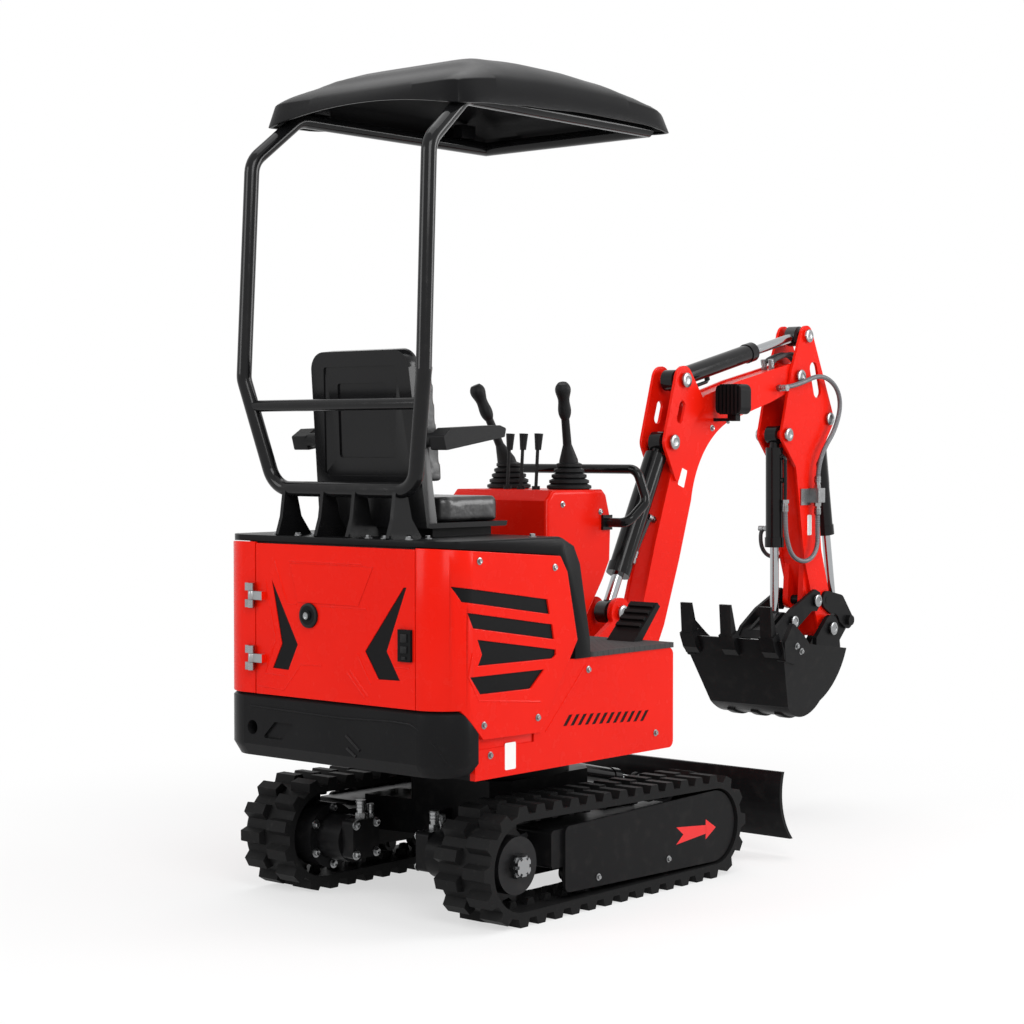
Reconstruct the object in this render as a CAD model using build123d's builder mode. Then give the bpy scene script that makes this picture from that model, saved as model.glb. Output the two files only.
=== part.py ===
# Mini excavator in millimetres: +X forward, +Y to the operator's left, +Z up.
# The origin is on the ground, under the slew axis.
import os
from math import asin, atan2, cos, degrees, hypot, pi, sin, tan

from build123d import *

os.makedirs("parts", exist_ok=True)

# Clearances
pin_gap = 0.05
seat_gap = 0.3
slide_gap = 0.3
panel_gap = 2.0
layer_gap = 1.0
eye_room = 12.0

# Tracks
track_outer = 465.0
shoe_width = 180.0
sprocket_x = -433.0
idler_x = 440.0
sprocket_reach = 161.0
idler_reach = 152.0
lug_height = 22.0
belt = 18.0
link_count = 36
lug_base = 46.0
lug_tip = 30.0
lug_groove = 26.0
guide_height = 18.0
guide_base = 34.0
guide_tip = 20.0
guide_gap = 20.0
guide_width = 16.0
wheel_half = 14.0
sprocket_teeth = 11
tooth_depth = 24.0
tooth_base = 34.0
hub_r = 78.0
hub_inset = 24.0
nut_r = 36.0
crown_r = 29.0
crown_height = 9.0
crown_slot = 9.0
roller_r = 44.0
roller_x = (-110.0, 55.0, 218.0)
axle_r = 14.0
idler_axle_r = 24.0
frame_inset = 33.0
frame_plate = 10.0
beam_top = 236.0
cover_back_x = -252.0
cover_plate = 10.0
cover_inset = 8.0
cover_r = 105.0
cover_low = 62.0
cover_high = 242.0

# Lower frame and slew ring
body_front = 215.0
body_half = 195.0
body_low = 150.0
body_corner = 45.0
leg_top = 250.0
leg_root = 70.0
ring_low = 330.0
ring_height = 30.0
ring_r = 205.0
ring_seat_r = 190.0
tie_eye = (-262.0, 200.0)
tie_r = 15.0
tie_plate = 18.0
motor_r = 92.0
motor_neck_r = 66.0
motor_reach = 120.0

# Blade
blade_pivot = (330.0, 190.0)
blade_half = 465.0
blade_arm_y = 150.0
blade_top = (788.0, 272.0)
blade_low = (836.0, 60.0)
blade_mid = (780.0, 165.0)
blade_plate = 14.0
blade_lug = 24.0
blade_arm_plate = 13.5
blade_ram_foot = (262.0, 300.0)
blade_ram_eye = (700.0, 205.0)
blade_pin_r = 12.0
lug_plate = 14.0

# Upper body
deck_low = 400.0
deck_plate = 24.0
half_width = 433.0
panel_wall = 14.0
rear_x = -705.0
corner_r = 105.0
weight_top = 588.0
weight_low = 414.0
weight_wall = 90.0
weight_front = -579.0
weight_bevel = 34.0
weight_edge = 10.0
weight_hole = (293.0, 495.0)
weight_hole_r = 20.0
hood_top = 1028.0
hood_cover_t = 16.0
cover_side = 10.0
skirt_front = 288.0
skirt_wall = 18.0
skirt_top = 690.0
skirt_corner = 20.0
skirt_back = -340.0
slot_start = (-216.0, 509.0)
slot_pitch = 31.4
slot_count = 12
slot_width = 16.0
slot_lean = 26.0
slot_height = 29.0
slot_drop = 1.8
floor_plate_t = 20.0
floor_back = -100.0
mat_t = 14.0
mat_edge = 6.0
vent_depth = 5.0
vents = (
    ((-663.0, 912.0), (-299.0, 861.0), (-290.0, 821.0), (-637.0, 872.0)),
    ((-620.0, 843.0), (-279.0, 792.0), (-271.0, 752.0), (-600.0, 802.0)),
    ((-583.0, 771.0), (-264.0, 723.0), (-264.0, 708.0), (-279.0, 700.0), (-581.0, 703.0), (-565.0, 731.0)),
    ((-610.0, 675.0), (-313.0, 673.0), (-369.0, 626.0), (-572.0, 628.0)),
)
door_right = -324.0
door_left = 279.0
door_wall = 22.0
door_low = 590.0
door_top = 1006.0
door_relief = 2.0
insert_depth = 6.0
insert_sink = 3.0
hinge_y = 283.0
hinge_x = -717.0
hinge_r = 9.0
hinge_pin_r = 5.0
hinge_z = (689.0, 862.0)
hinge_half = 34.0
knuckle_half = 12.0
lock_spot = (66.0, 817.0)
lock_r = 26.0
switch_low = (-316.0, 714.0)
switch_high = (-270.0, 798.0)
engine_half = 230.0
engine_top = 860.0

# Operator's place
console_half = 190.0
console_top = 1146.0
console_front = 292.0
console_round = 12.0
lever_x = 98.0
lever_y = (52.0, 0.0, -58.0)
lever_top = 1292.0
lever_lean = 10.0
stick_y = 117.0
stick_x = 180.0
boot_r = 66.0
stick_top = (85.0, 1455.0)
stick_out = 52.0
rail_r = 14.0
rail_bend = 34.0
pedal_inset = 94.0
pedal_width = 100.0
seat_half = 205.0
seat_low = 1052.0
shell_t = 14.0
cushion_t = 70.0
shell_deep = 42.0
armrest_width = 55.0
armrest_gap = 30.0
tube_r = 21.0
tube_bend = 70.0
bar_r = 16.0
rops_half = 335.0
post_plate = 12.0
canopy_back = -592.0
canopy_front = 352.0
canopy_half = 378.0
rim_top = 2206.0
rim_depth = 41.0
pad_long = 70.0
rim_corner = 60.0
rim_trim = 1.5
dome_rise = 132.0
front_lift = 16.0
canopy_wall = 12.0

# Pins of the working gear, side view
boom_foot = (640.0, 600.0)
boom_ram_foot = (505.0, 759.0)
boom_ram_head = (783.0, 1286.0)
elbow = (1510.0, 1510.0)
arm_ram_head = (847.0, 1484.0)
arm_ram_eye = (1558.0, 1652.0)
bucket_ram_head = (1695.0, 1368.0)
ram_joint = (1815.0, 657.0)
rocker_pin = (1680.0, 735.0)
bucket_pin = (1677.0, 637.0)
link_pin = (1700.0, 544.0)
thumb_pin = (1584.0, 739.0)
thumb_ram_head = (1436.0, 1312.0)
thumb_ram_eye = (1440.0, 675.0)

# Layers of the working gear, counted from the middle plane
boom_half = 40.0
boom_plate = 10.0
boom_inset = 5.0
boom_bracket = 10.0
base_plate = 18.0
arm_plate = 10.0
arm_inset = 6.0
rocker_plate = 10.0
ear_plate = 16.0
thumb_plate = 12.0
eye_half = 22.0
pin_r = 16.0
rocker_pin_r = 14.0
pin_head_r = 22.0
pin_head = 6.0
pipe_r = 6.0
hose_r = 8.0
spout_run = 42.0

# Bucket
lip = (1180.0, 633.0)
bucket_knee = (1286.0, 402.0)
bucket_low = (1375.0, 361.0)
bucket_heel = (1480.0, 408.0)
bucket_rear = (1560.0, 482.0)
bucket_back = (1590.0, 582.0)
bucket_wall = 9.0
lip_half = 205.0
floor_half = 150.0
lip_plate = 7.0
lip_depth = 62.0
cutter_plate = 8.0
rib_y = (-96.0, 0.0, 96.0)
wear_width = 26.0
wear_plate = 7.0
tooth_y = (-160.0, 0.0, 160.0)
tooth_tip = (1143.0, 745.0)
tooth_half = 22.0
adapter_half = 28.0

# Worked out from the sizes above
track_inner = track_outer - shoe_width
wheel_mid = track_outer - shoe_width / 2
frame_inner = track_inner + frame_inset
cover_in = track_outer - cover_inset - cover_plate
sprocket = (sprocket_x, sprocket_reach)
idler = (idler_x, idler_reach)
back_r = sprocket_reach - lug_height
front_r = idler_reach - lug_height
roller_z = lug_height + belt + roller_r + seat_gap
ring_top = ring_low + ring_height
skirt_half = half_width - panel_wall
base_in = boom_half + layer_gap
base_out = base_in + base_plate
base_low = deck_low + deck_plate
cover_low_z = hood_top - hood_cover_t
mat_top = skirt_top + mat_t
arm_in = boom_half + layer_gap
arm_out = arm_in + arm_plate
rocker_in = arm_out + layer_gap
rocker_out = rocker_in + rocker_plate
ear_in = rocker_out + 2 * layer_gap
ear_out = ear_in + ear_plate
thumb_in = rocker_out + layer_gap
thumb_out = thumb_in + thumb_plate
rim_low = rim_top - rim_depth
roof_tube_z = rim_low + tube_r + 8


# A side-view spot moved by a small step.
def near(spot, dx, dz):
    return spot[0] + dx, spot[1] + dz


# Plate with this side-view outline, its corners rounded, between two places across the machine.
def slab(points, y_low, y_high, bend=0):
    with BuildPart() as item:
        with BuildSketch(Plane.XZ.offset(-y_high)) as face:
            with BuildLine():
                Polyline(*points, close=True)
            make_face()
            if bend:
                fillet(face.vertices(), bend)
        extrude(amount=y_high - y_low)
    return item.part


# Plate drawn tight round side-view circles, such as the bosses of pins.
def lobes(circles, y_low, y_high):
    with BuildPart() as item:
        with BuildSketch(Plane.XZ.offset(-y_high)):
            for spot, radius in circles:
                with Locations(spot):
                    Circle(radius)
            make_hull()
        extrude(amount=y_high - y_low)
    return item.part


# A piece and its mirror image across the middle plane.
def both(piece):
    return [piece, mirror(piece, about=Plane.XZ)]


# Round bar across the machine at a side-view spot.
def cross_bar(spot, radius, y_low, y_high):
    with BuildPart() as item:
        with BuildSketch(Plane.XZ.offset(-y_high)):
            with Locations(spot):
                Circle(radius)
        extrude(amount=y_high - y_low)
    return item.part


# Round bar between two points.
def rod(start, end, radius):
    line = Vector(*end) - Vector(*start)
    with BuildPart() as item:
        with BuildSketch(Plane(origin=start, z_dir=line)):
            Circle(radius)
        extrude(amount=line.length)
    return item.part


# Box between two corners.
def block(low, high):
    with BuildPart() as item:
        with BuildSketch(Plane.XY.offset(low[2])):
            with Locations(((low[0] + high[0]) / 2, (low[1] + high[1]) / 2)):
                Rectangle(high[0] - low[0], high[1] - low[1])
        extrude(amount=high[2] - low[2])
    return item.part


# Round tube along a bent line.
def pipe(points, radius, bends):
    with BuildPart() as item:
        with BuildLine() as path:
            FilletPolyline(*points, radius=bends)
        with BuildSketch(Plane(origin=path.line @ 0, z_dir=path.line % 0)):
            Circle(radius)
        sweep()
    return item.part


# Hose whose bends take most of the runs on both sides of them.
def hose(points, radius):
    spots = [Vector(*point) for point in points]
    bends = []
    for before, here, after in zip(spots, spots[1:], spots[2:]):
        turn = (here - before).get_angle(after - here)
        run = min((here - before).length, (after - here).length)
        bends.append(0.45 * run / tan(turn * pi / 360))
    return pipe(points, radius, bends)


def save(item, name):
    item.part.label = name
    export_step(item.part, f"parts/{name}.step")


# Place and turn of a point on the belt's outer face, as distance along it.
def loop_spot(travel):
    run = hypot(idler_x - sprocket_x, idler_reach - sprocket_reach)
    tilt = atan2(idler_reach - sprocket_reach, idler_x - sprocket_x)
    lean = asin((back_r - front_r) / run)
    straight = run * cos(lean)
    back_arc = back_r * (pi + 2 * lean)
    front_arc = front_r * (pi - 2 * lean)
    total = 2 * straight + back_arc + front_arc
    travel %= total
    low = tilt - pi / 2 + lean
    high = tilt + pi / 2 - lean
    if travel < straight:
        x = sprocket_x + back_r * cos(low) + travel * cos(low + pi / 2)
        z = sprocket_reach + back_r * sin(low) + travel * sin(low + pi / 2)
        return x, z, low, total
    travel -= straight
    if travel < front_arc:
        turn = low + travel / front_r
        return idler_x + front_r * cos(turn), idler_reach + front_r * sin(turn), turn, total
    travel -= front_arc
    if travel < straight:
        x = idler_x + front_r * cos(high) + travel * cos(high + pi / 2)
        z = idler_reach + front_r * sin(high) + travel * sin(high + pi / 2)
        return x, z, high, total
    turn = high + (travel - straight) / back_r
    return sprocket_x + back_r * cos(turn), sprocket_reach + back_r * sin(turn), turn, total


# One row of tapered blocks round the loop, outside the belt or inside it.
def block_row(y_low, y_high, phase, base, tip, height, inside):
    pitch = loop_spot(0)[3] / link_count
    sunk = 2.0
    middle = (height - sunk) / 2
    spots = []
    for link in range(link_count):
        x, z, turn, _ = loop_spot((link + phase) * pitch)
        out = -belt - middle if inside else middle
        facing = degrees(turn) + (90 if inside else -90)
        spots.append(Location((x + out * cos(turn), z + out * sin(turn)), facing))
    side = degrees(atan2(height + sunk, (base - tip) / 2))
    with BuildPart() as item:
        with BuildSketch(Plane.XZ.offset(-y_high)):
            with Locations(*spots):
                Trapezoid(base, height + sunk, side)
        extrude(amount=y_high - y_low)
    return item.part


# Tracks: belt with two staggered rows of lugs outside and two rows of guides inside
with BuildPart() as track_left:
    add(lobes([(sprocket, back_r), (idler, front_r)], track_inner, track_outer))
    add(lobes([(sprocket, back_r - belt), (idler, front_r - belt)], track_inner, track_outer),
        mode=Mode.SUBTRACT)
    add(block_row(wheel_mid + lug_groove / 2, track_outer, 0, lug_base, lug_tip, lug_height, False))
    add(block_row(track_inner, wheel_mid - lug_groove / 2, 0.5, lug_base, lug_tip, lug_height, False))
    for start in (wheel_mid + guide_gap, wheel_mid - guide_gap - guide_width):
        add(block_row(start, start + guide_width, 0.25, guide_base, guide_tip, guide_height, True))
save(track_left, "track_left")

with BuildPart() as track_right:
    add(mirror(track_left.part, about=Plane.XZ))
save(track_right, "track_right")

# Sprocket with its castle nut, idler and rollers of both tracks
with BuildPart() as track_wheels:
    reach = back_r - belt - seat_gap
    add(cross_bar(sprocket, reach - tooth_depth + 2, wheel_mid - wheel_half, wheel_mid + wheel_half))
    with BuildSketch(Plane.XZ.offset(-wheel_mid - wheel_half)):
        with Locations(sprocket):
            with PolarLocations(reach - tooth_depth / 2, sprocket_teeth):
                Trapezoid(tooth_base, tooth_depth, 65, rotation=-90)
    extrude(amount=2 * wheel_half)
    hub_end = track_outer - hub_inset
    add(cross_bar(sprocket, hub_r, frame_inner + 4, hub_end))
    with BuildSketch(Plane.XZ.offset(-track_outer + crown_height)):
        with Locations(sprocket):
            RegularPolygon(nut_r, 6)
    extrude(amount=hub_inset - crown_height)
    with BuildSketch(Plane.XZ.offset(-track_outer)):
        with Locations(sprocket):
            Circle(crown_r)
            for turn in (0, 60, 120):
                Rectangle(2 * crown_r + 2, crown_slot, rotation=turn, mode=Mode.SUBTRACT)
            Circle(crown_r - crown_slot)
    extrude(amount=crown_height)
    add(cross_bar(idler, front_r - belt - seat_gap, wheel_mid - wheel_half, wheel_mid + wheel_half))
    drum = guide_gap + guide_width + 4
    add(cross_bar(idler, front_r - belt - guide_height - 6, wheel_mid - drum, wheel_mid + drum))
    add(cross_bar(idler, idler_axle_r, frame_inner + frame_plate, cover_in))
    for x in roller_x:
        add(cross_bar((x, roller_z), roller_r, wheel_mid - wheel_half, wheel_mid + wheel_half))
        add(cross_bar((x, roller_z), roller_r - guide_height - 2, wheel_mid - drum, wheel_mid + drum))
        add(cross_bar((x, roller_z), axle_r, frame_inner + frame_plate, cover_in))
    mirror(about=Plane.XZ)
save(track_wheels, "track_wheels")

# Track frames: beam, inner plate and outer cover with its round front
with BuildPart() as track_frames:
    beam_low = roller_z + roller_r + 4
    beam_back, beam_front = cover_back_x - 48, roller_x[2] + 77
    add(slab([(beam_back, beam_low), (beam_front, beam_low), (beam_front, beam_top), (beam_back, beam_top)],
             frame_inner, cover_in, 12))
    add(lobes([((cover_back_x + 24, roller_z + 40), 32), ((cover_back_x + 24, beam_top - 32), 32),
               ((roller_x[2], roller_z + 32), 26), (idler, 52)], frame_inner, frame_inner + frame_plate))
    with BuildSketch(Plane.XZ.offset(-track_outer + cover_inset)) as cover:
        with BuildLine():
            Polyline((idler_x, idler_reach + cover_r), (cover_back_x, cover_high), (cover_back_x, cover_low),
                     (idler_x, idler_reach - cover_r))
            RadiusArc((idler_x, idler_reach - cover_r), (idler_x, idler_reach + cover_r), -cover_r)
        make_face()
        fillet(cover.vertices().group_by(Axis.X)[0], 18)
    extrude(amount=cover_plate)
    mirror(about=Plane.XZ)
save(track_frames, "track_frames")

# Travel motors, inside the sprockets
with BuildPart() as drive_motors:
    flange = track_inner - frame_inset
    add(cross_bar(sprocket, motor_r, flange, frame_inner + 4))
    add(cross_bar(sprocket, motor_neck_r, motor_reach + 45, flange))
    add(slab([near(sprocket, -52, -48), near(sprocket, 52, -48), near(sprocket, 52, 62),
              near(sprocket, -52, 62)], motor_reach, motor_reach + 45, 14))
    for back, end in ((sprocket_x + 60, frame_inner + 3),
                      (sprocket_x + hub_r + 5, frame_inner + frame_plate)):
        add(slab([(back, sprocket_reach - 50), (cover_back_x - 48, sprocket_reach - 50),
                  (cover_back_x - 48, beam_top - 8), (back, beam_top - 8)], flange, end))
    mirror(about=Plane.XZ)
save(drive_motors, "drive_motors")

# Lower frame: centre box, spread legs, lugs of the blade, its ram and the tie-down eye
with BuildPart() as lower_frame:
    with BuildSketch(Plane.XY.offset(body_low)) as plan:
        Rectangle(2 * body_front, 2 * body_half)
        chamfer(plan.vertices(), body_corner)
    extrude(amount=ring_low - body_low)
    with BuildSketch(Plane.XY.offset(body_low)):
        with BuildLine():
            Polyline((leg_root, body_half - body_corner), (body_front, body_half - body_corner),
                     (body_front + 22, frame_inner), (leg_root + 24, frame_inner), close=True)
        make_face()
        mirror(about=Plane.YZ)
        mirror(about=Plane.XZ)
    extrude(amount=leg_top - body_low)
    for y in (blade_arm_y, -blade_arm_y):
        add(lobes([(blade_pivot, 38), ((body_front, blade_pivot[1] + 6), 44),
                   ((body_front - body_corner, 196), 44)], y - blade_lug / 2, y + blade_lug / 2))
        add(cross_bar(blade_pivot, pin_r, y - blade_lug / 2 - blade_arm_plate - 4.5,
                      y + blade_lug / 2 + blade_arm_plate + 4.5))
    for side in both(lobes([(blade_ram_foot, 30), ((body_front - 10, blade_ram_foot[1] - 2), 30)],
                           eye_half + layer_gap, eye_half + layer_gap + lug_plate)):
        add(side)
    add(cross_bar(blade_ram_foot, blade_pin_r, -eye_half - lug_plate - pin_head,
                  eye_half + lug_plate + pin_head))
    add(lobes([(tie_eye, 30), ((10 - body_front, tie_eye[1] + 4), 36)], -tie_plate / 2, tie_plate / 2))
    add(cross_bar(tie_eye, tie_r, -tie_plate, tie_plate), mode=Mode.SUBTRACT)
save(lower_frame, "lower_frame")

with BuildPart() as slew_ring:
    add(rod((0, 0, ring_low), (0, 0, ring_top), ring_r))
save(slew_ring, "slew_ring")

# Blade: curved plate, two pairs of arm plates, cross beam and ram lugs
with BuildPart() as dozer_blade:
    with BuildSketch(Plane.XZ.offset(-blade_half)):
        with BuildLine():
            back = ThreePointArc(blade_top, blade_mid, blade_low)
            front = ThreePointArc(near(blade_top, blade_plate, 0), near(blade_mid, blade_plate, 0),
                                  near(blade_low, blade_plate, 0))
            Line(back @ 0, front @ 0)
            Line(back @ 1, front @ 1)
        make_face()
    extrude(amount=2 * blade_half)
    for y in (blade_arm_y, -blade_arm_y):
        gap = blade_lug / 2 + layer_gap / 2
        for start in (y + gap, y - gap - blade_arm_plate):
            add(lobes([(blade_pivot, 36), (near(blade_mid, -45, 0), 56)], start, start + blade_arm_plate))
    add(block((blade_mid[0] - 140, -blade_arm_y, blade_mid[1] - 45),
              (blade_mid[0] - 100, blade_arm_y, blade_mid[1] + 10)))
    for side in both(lobes([(blade_ram_eye, 30), (near(blade_mid, -34, 5), 38),
                            (near(blade_mid, -112, -10), 30)],
                           eye_half + layer_gap, eye_half + layer_gap + lug_plate)):
        add(side)
    for y in (blade_arm_y, -blade_arm_y):
        add(cross_bar(blade_pivot, pin_r + pin_gap, y - 40, y + 40), mode=Mode.SUBTRACT)
save(dozer_blade, "dozer_blade")


# Barrel with its eye and hard pipe, and the stem that slides in it, for one hydraulic ram.
def ram(head, eye, length, radius, stem, shrink, eye_r, bore, side=None, tube=()):
    reach = hypot(eye[0] - head[0], eye[1] - head[1])
    along = Vector((eye[0] - head[0]) / reach, 0, (eye[1] - head[1]) / reach)
    if side and side[1]:
        out = Vector(0, side[1], 0)
    else:
        out = Vector(-along.Z, 0, along.X) * (side[0] if side else 0)
    neck = eye_r + 14
    floor = neck + 8

    def at(distance, away=0):
        return tuple(Vector(head[0], 0, head[1]) + along * distance + out * away)

    with BuildPart() as barrel:
        add(cross_bar(head, eye_r, -eye_half, eye_half))
        add(rod(at(eye_r - 6), at(neck), eye_half - 5))
        add(rod(at(neck), at(length), radius))
        add(rod(at(length - 34), at(length), radius + 3))
        if tube:
            first, last, shut = tube
            run = [at(first, radius - 5), at(first, radius + 14), at(last, radius + 14)]
            if shut:
                run.append(at(last, radius - 5))
            add(pipe(run, pipe_r, 10))
            add(rod(at(first, radius - 5), at(first, radius + 6), pipe_r + 4))
            clamp = last if shut else (first + last) / 2
            add(rod(at(clamp, radius - 5), at(clamp, radius + 10), pipe_r + 3))
        add(rod(at(floor), at(length + 1), stem + slide_gap), mode=Mode.SUBTRACT)
        add(cross_bar(head, bore + pin_gap, -eye_half - 1, eye_half + 1), mode=Mode.SUBTRACT)
    with BuildPart() as inner:
        add(rod(at(floor + 4 + shrink), at(reach - eye_r + 6), stem))
        add(cross_bar(eye, eye_r, -eye_half + 2, eye_half - 2))
        add(cross_bar(eye, bore, -eye_half - 1, eye_half + 1), mode=Mode.SUBTRACT)
    spout = []
    if tube and not shut:
        step = spout_run if last > first else -spout_run
        spout = [at(last, radius + 14), at(last + step, radius + 14)]
    return barrel, inner, spout


rams = {
    "boom": ram(boom_ram_head, boom_ram_foot, 468, 35, 18, 26, 34, pin_r, (1, 0), (440, 396, False)),
    "arm": ram(arm_ram_head, arm_ram_eye, 461, 30, 16, 202, 34, pin_r, (-1, 0), (92, 190, True)),
    "bucket": ram(bucket_ram_head, ram_joint, 413, 27, 15, 230, 30, pin_r, (1, 0), (82, 244, True)),
    "thumb": ram(thumb_ram_head, thumb_ram_eye, 385, 30, 15, 176, 30, pin_r, (0, -1), (76, 236, False)),
    "blade": ram(blade_ram_foot, blade_ram_eye, 300, 27, 15, 30, 24, blade_pin_r),
}
for name, (barrel, inner, _) in rams.items():
    save(barrel, f"{name}_barrel")
    save(inner, f"{name}_rod")

# Turret frame: deck plate and ring seat
with BuildPart() as turret_frame:
    inner_half = skirt_half - skirt_wall
    add(block((weight_front + panel_gap, -inner_half, deck_low),
              (skirt_front - skirt_wall, inner_half, base_low)))
    rear_half = half_width - weight_wall - 20
    add(block((rear_x + weight_wall, -rear_half, deck_low), (weight_front + panel_gap, rear_half, base_low)))
    add(rod((0, 0, ring_top + seat_gap), (0, 0, deck_low), ring_seat_r))
save(turret_frame, "turret_frame")

# Boom base: two plates that carry the boom's foot and its ram
with BuildPart() as boom_base:
    back_x, toe_x = 110.0, 420.0
    web_top = boom_foot[1]
    for side in both(slab([(back_x, base_low), (back_x, web_top), (330, web_top + 55), boom_ram_foot,
                           boom_foot, (toe_x, base_low)], base_in, base_out)):
        add(side)
    for side in both(lobes([(boom_ram_foot, 46), (boom_foot, 60)], base_in, base_out)):
        add(side)
    add(block((back_x, -base_in, base_low), (toe_x, base_in, base_low + 50)))
    add(block((back_x, -base_in, base_low), (back_x + 30, base_in, web_top)))
    add(cross_bar(boom_foot, pin_r, -base_out - pin_head, base_out + pin_head))
    for side in both(cross_bar(boom_ram_foot, pin_head_r, base_out, base_out + pin_head)):
        add(side)
save(boom_base, "boom_base")


# Plan of a wall round the rear of the upper body, open to the front.
def hood_plan(wall, front, inset=0):
    half = half_width - inset
    back = rear_x + inset
    with BuildSketch() as plan:
        with Locations(((back + front) / 2, 0)):
            Rectangle(front - back, 2 * half)
        fillet(plan.vertices().group_by(Axis.X)[0], corner_r - inset)
    with BuildSketch() as core:
        with Locations(((back + wall + front + 10) / 2, 0)):
            Rectangle(front + 10 - back - wall, 2 * half - 2 * wall)
        fillet(core.vertices().group_by(Axis.X)[0], max(corner_r - inset - wall, 8))
    return plan.sketch - core.sketch


# Side panels of the hood, with slots for the vents
panel_front = near(vents[1][1], 109, -49)
panel_line = [(rear_x - 1, weight_top + panel_gap), (-640, weight_top + panel_gap), (-560, 508),
              (-328, 504), panel_front, near(panel_front, -44, 188), near(panel_front, -74, 233),
              (rear_x - 1, cover_low_z - 2)]
panel_cut = slab(panel_line, -half_width - 1, half_width + 1)
with BuildPart() as hood_wall:
    with BuildSketch(Plane.XY.offset(500)):
        add(hood_plan(panel_wall, -150))
    extrude(amount=cover_low_z - 500)
    add(panel_cut, mode=Mode.INTERSECT)
    for points in vents:
        add(slab(points, -half_width - 1, half_width + 1), mode=Mode.SUBTRACT)

for low, high, name in ((-half_width - 1, door_right - panel_gap, "side_panel_right"),
                        (door_left + panel_gap, half_width + 1, "side_panel_left")):
    with BuildPart() as side_panel:
        add(hood_wall.part)
        add(block((rear_x - 1, low, 490), (-140, high, hood_top)), mode=Mode.INTERSECT)
    save(side_panel, name)

# Dark fillings of the vents
with BuildPart() as openings:
    for points in vents:
        add(slab(points, -half_width - 1, half_width + 1))
with BuildPart() as panel_vents:
    with BuildSketch(Plane.XY.offset(500)):
        add(hood_plan(panel_wall - vent_depth, -150, vent_depth))
    extrude(amount=cover_low_z - 500)
    add(openings.part, mode=Mode.INTERSECT)
save(panel_vents, "panel_vents")

# Counterweight with bevelled edges, an outlet and a hand recess
with BuildPart() as counterweight:
    plan = hood_plan(weight_wall, weight_front)
    with BuildSketch(Plane.XY.offset(weight_low + weight_bevel)):
        add(plan)
    extrude(amount=weight_top - weight_edge - weight_low - weight_bevel)
    with BuildSketch(Plane.XY.offset(weight_low + weight_bevel)):
        add(plan)
    extrude(amount=-weight_bevel, taper=30)
    with BuildSketch(Plane.XY.offset(weight_top - weight_edge)):
        add(plan)
    extrude(amount=weight_edge, taper=45)
    add(slab([(-640, weight_top + 1), (-560, 506), (-560, weight_top + 1)], -half_width - 1, half_width + 1),
        mode=Mode.SUBTRACT)
    y, z = weight_hole
    add(rod((rear_x - 1, y, z), (rear_x + 60, y, z), weight_hole_r), mode=Mode.SUBTRACT)
    with BuildSketch(Plane.YZ.offset(rear_x - 1)) as recess:
        with BuildLine():
            Polyline((y - 89, z + 21), (y - 168, z + 21), (y - 117, z - 26), (y - 40, z - 26), close=True)
        make_face()
        fillet(recess.vertices(), 5)
    extrude(amount=9, mode=Mode.SUBTRACT)
save(counterweight, "counterweight")

# Skirts round the lower front, with a row of slanted slots
with BuildPart() as skirt_left:
    with BuildSketch(Plane.XZ.offset(-skirt_half)) as face:
        with BuildLine():
            back = weight_front + panel_gap
            Polyline((back, deck_low), (skirt_front, deck_low), (skirt_front, skirt_top),
                     (skirt_back, skirt_top), (skirt_back, 480), (back, 480), close=True)
        make_face()
        fillet(face.vertices().group_by(Axis.X)[-1], skirt_corner)
    extrude(amount=skirt_half - base_out - panel_gap)
    add(block((back - 1, 0, deck_low - 1),
              (skirt_front - skirt_wall, skirt_half - skirt_wall, skirt_top + 1)), mode=Mode.SUBTRACT)
    for index in range(slot_count):
        foot = near(slot_start, index * slot_pitch, -index * slot_drop)
        head = near(foot, slot_lean, slot_height)
        add(slab([foot, near(foot, slot_width, 0), near(head, slot_width, 0), head], 0, skirt_half + 1),
            mode=Mode.SUBTRACT)
save(skirt_left, "skirt_left")

with BuildPart() as skirt_right:
    add(mirror(skirt_left.part, about=Plane.XZ))
save(skirt_right, "skirt_right")

# Floor and mat
with BuildPart() as floor:
    add(block((floor_back, -skirt_half + skirt_wall, skirt_top - floor_plate_t),
              (skirt_front - skirt_wall, skirt_half - skirt_wall, skirt_top)))
save(floor, "floor")

with BuildPart() as floor_mat:
    add(block((floor_back + 4, -skirt_half - 4, skirt_top),
              (skirt_front + mat_edge, skirt_half + 4, mat_top)))
    fillet(floor_mat.edges().filter_by(Axis.Z), 14)
save(floor_mat, "floor_mat")

# Hood cover: black top and front of the hood
with BuildPart() as hood_cover:
    add(slab([(rear_x + 6, cover_low_z), (rear_x + 6, hood_top), (-235, hood_top), (-175, hood_top - 28),
              (floor_back - 48, 950), (floor_back - 5, 745), (floor_back, skirt_top),
              (panel_front[0] + panel_gap, skirt_top), near(panel_front, panel_gap, 0),
              near(panel_front, panel_gap - 44, 188 + panel_gap), near(panel_front, -74, 233 + panel_gap)],
             -half_width + cover_side, half_width - cover_side))
    fillet(hood_cover.faces().sort_by(Axis.Z)[-1].edges().filter_by(Axis.X), 8)
save(hood_cover, "hood_cover")

# Engine, one plain mass
with BuildPart() as engine:
    add(block((rear_x + 105, -engine_half, base_low), (rear_x + 425, engine_half, engine_top)))
save(engine, "engine")


# Plate on the back of the upper body, with an outline across it.
def rear_plate(points, x_low, x_high):
    with BuildPart() as item:
        with BuildSketch(Plane.YZ.offset(x_low)):
            with BuildLine():
                Polyline(*points, close=True)
            make_face()
        extrude(amount=x_high - x_low)
    return item.part


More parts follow.
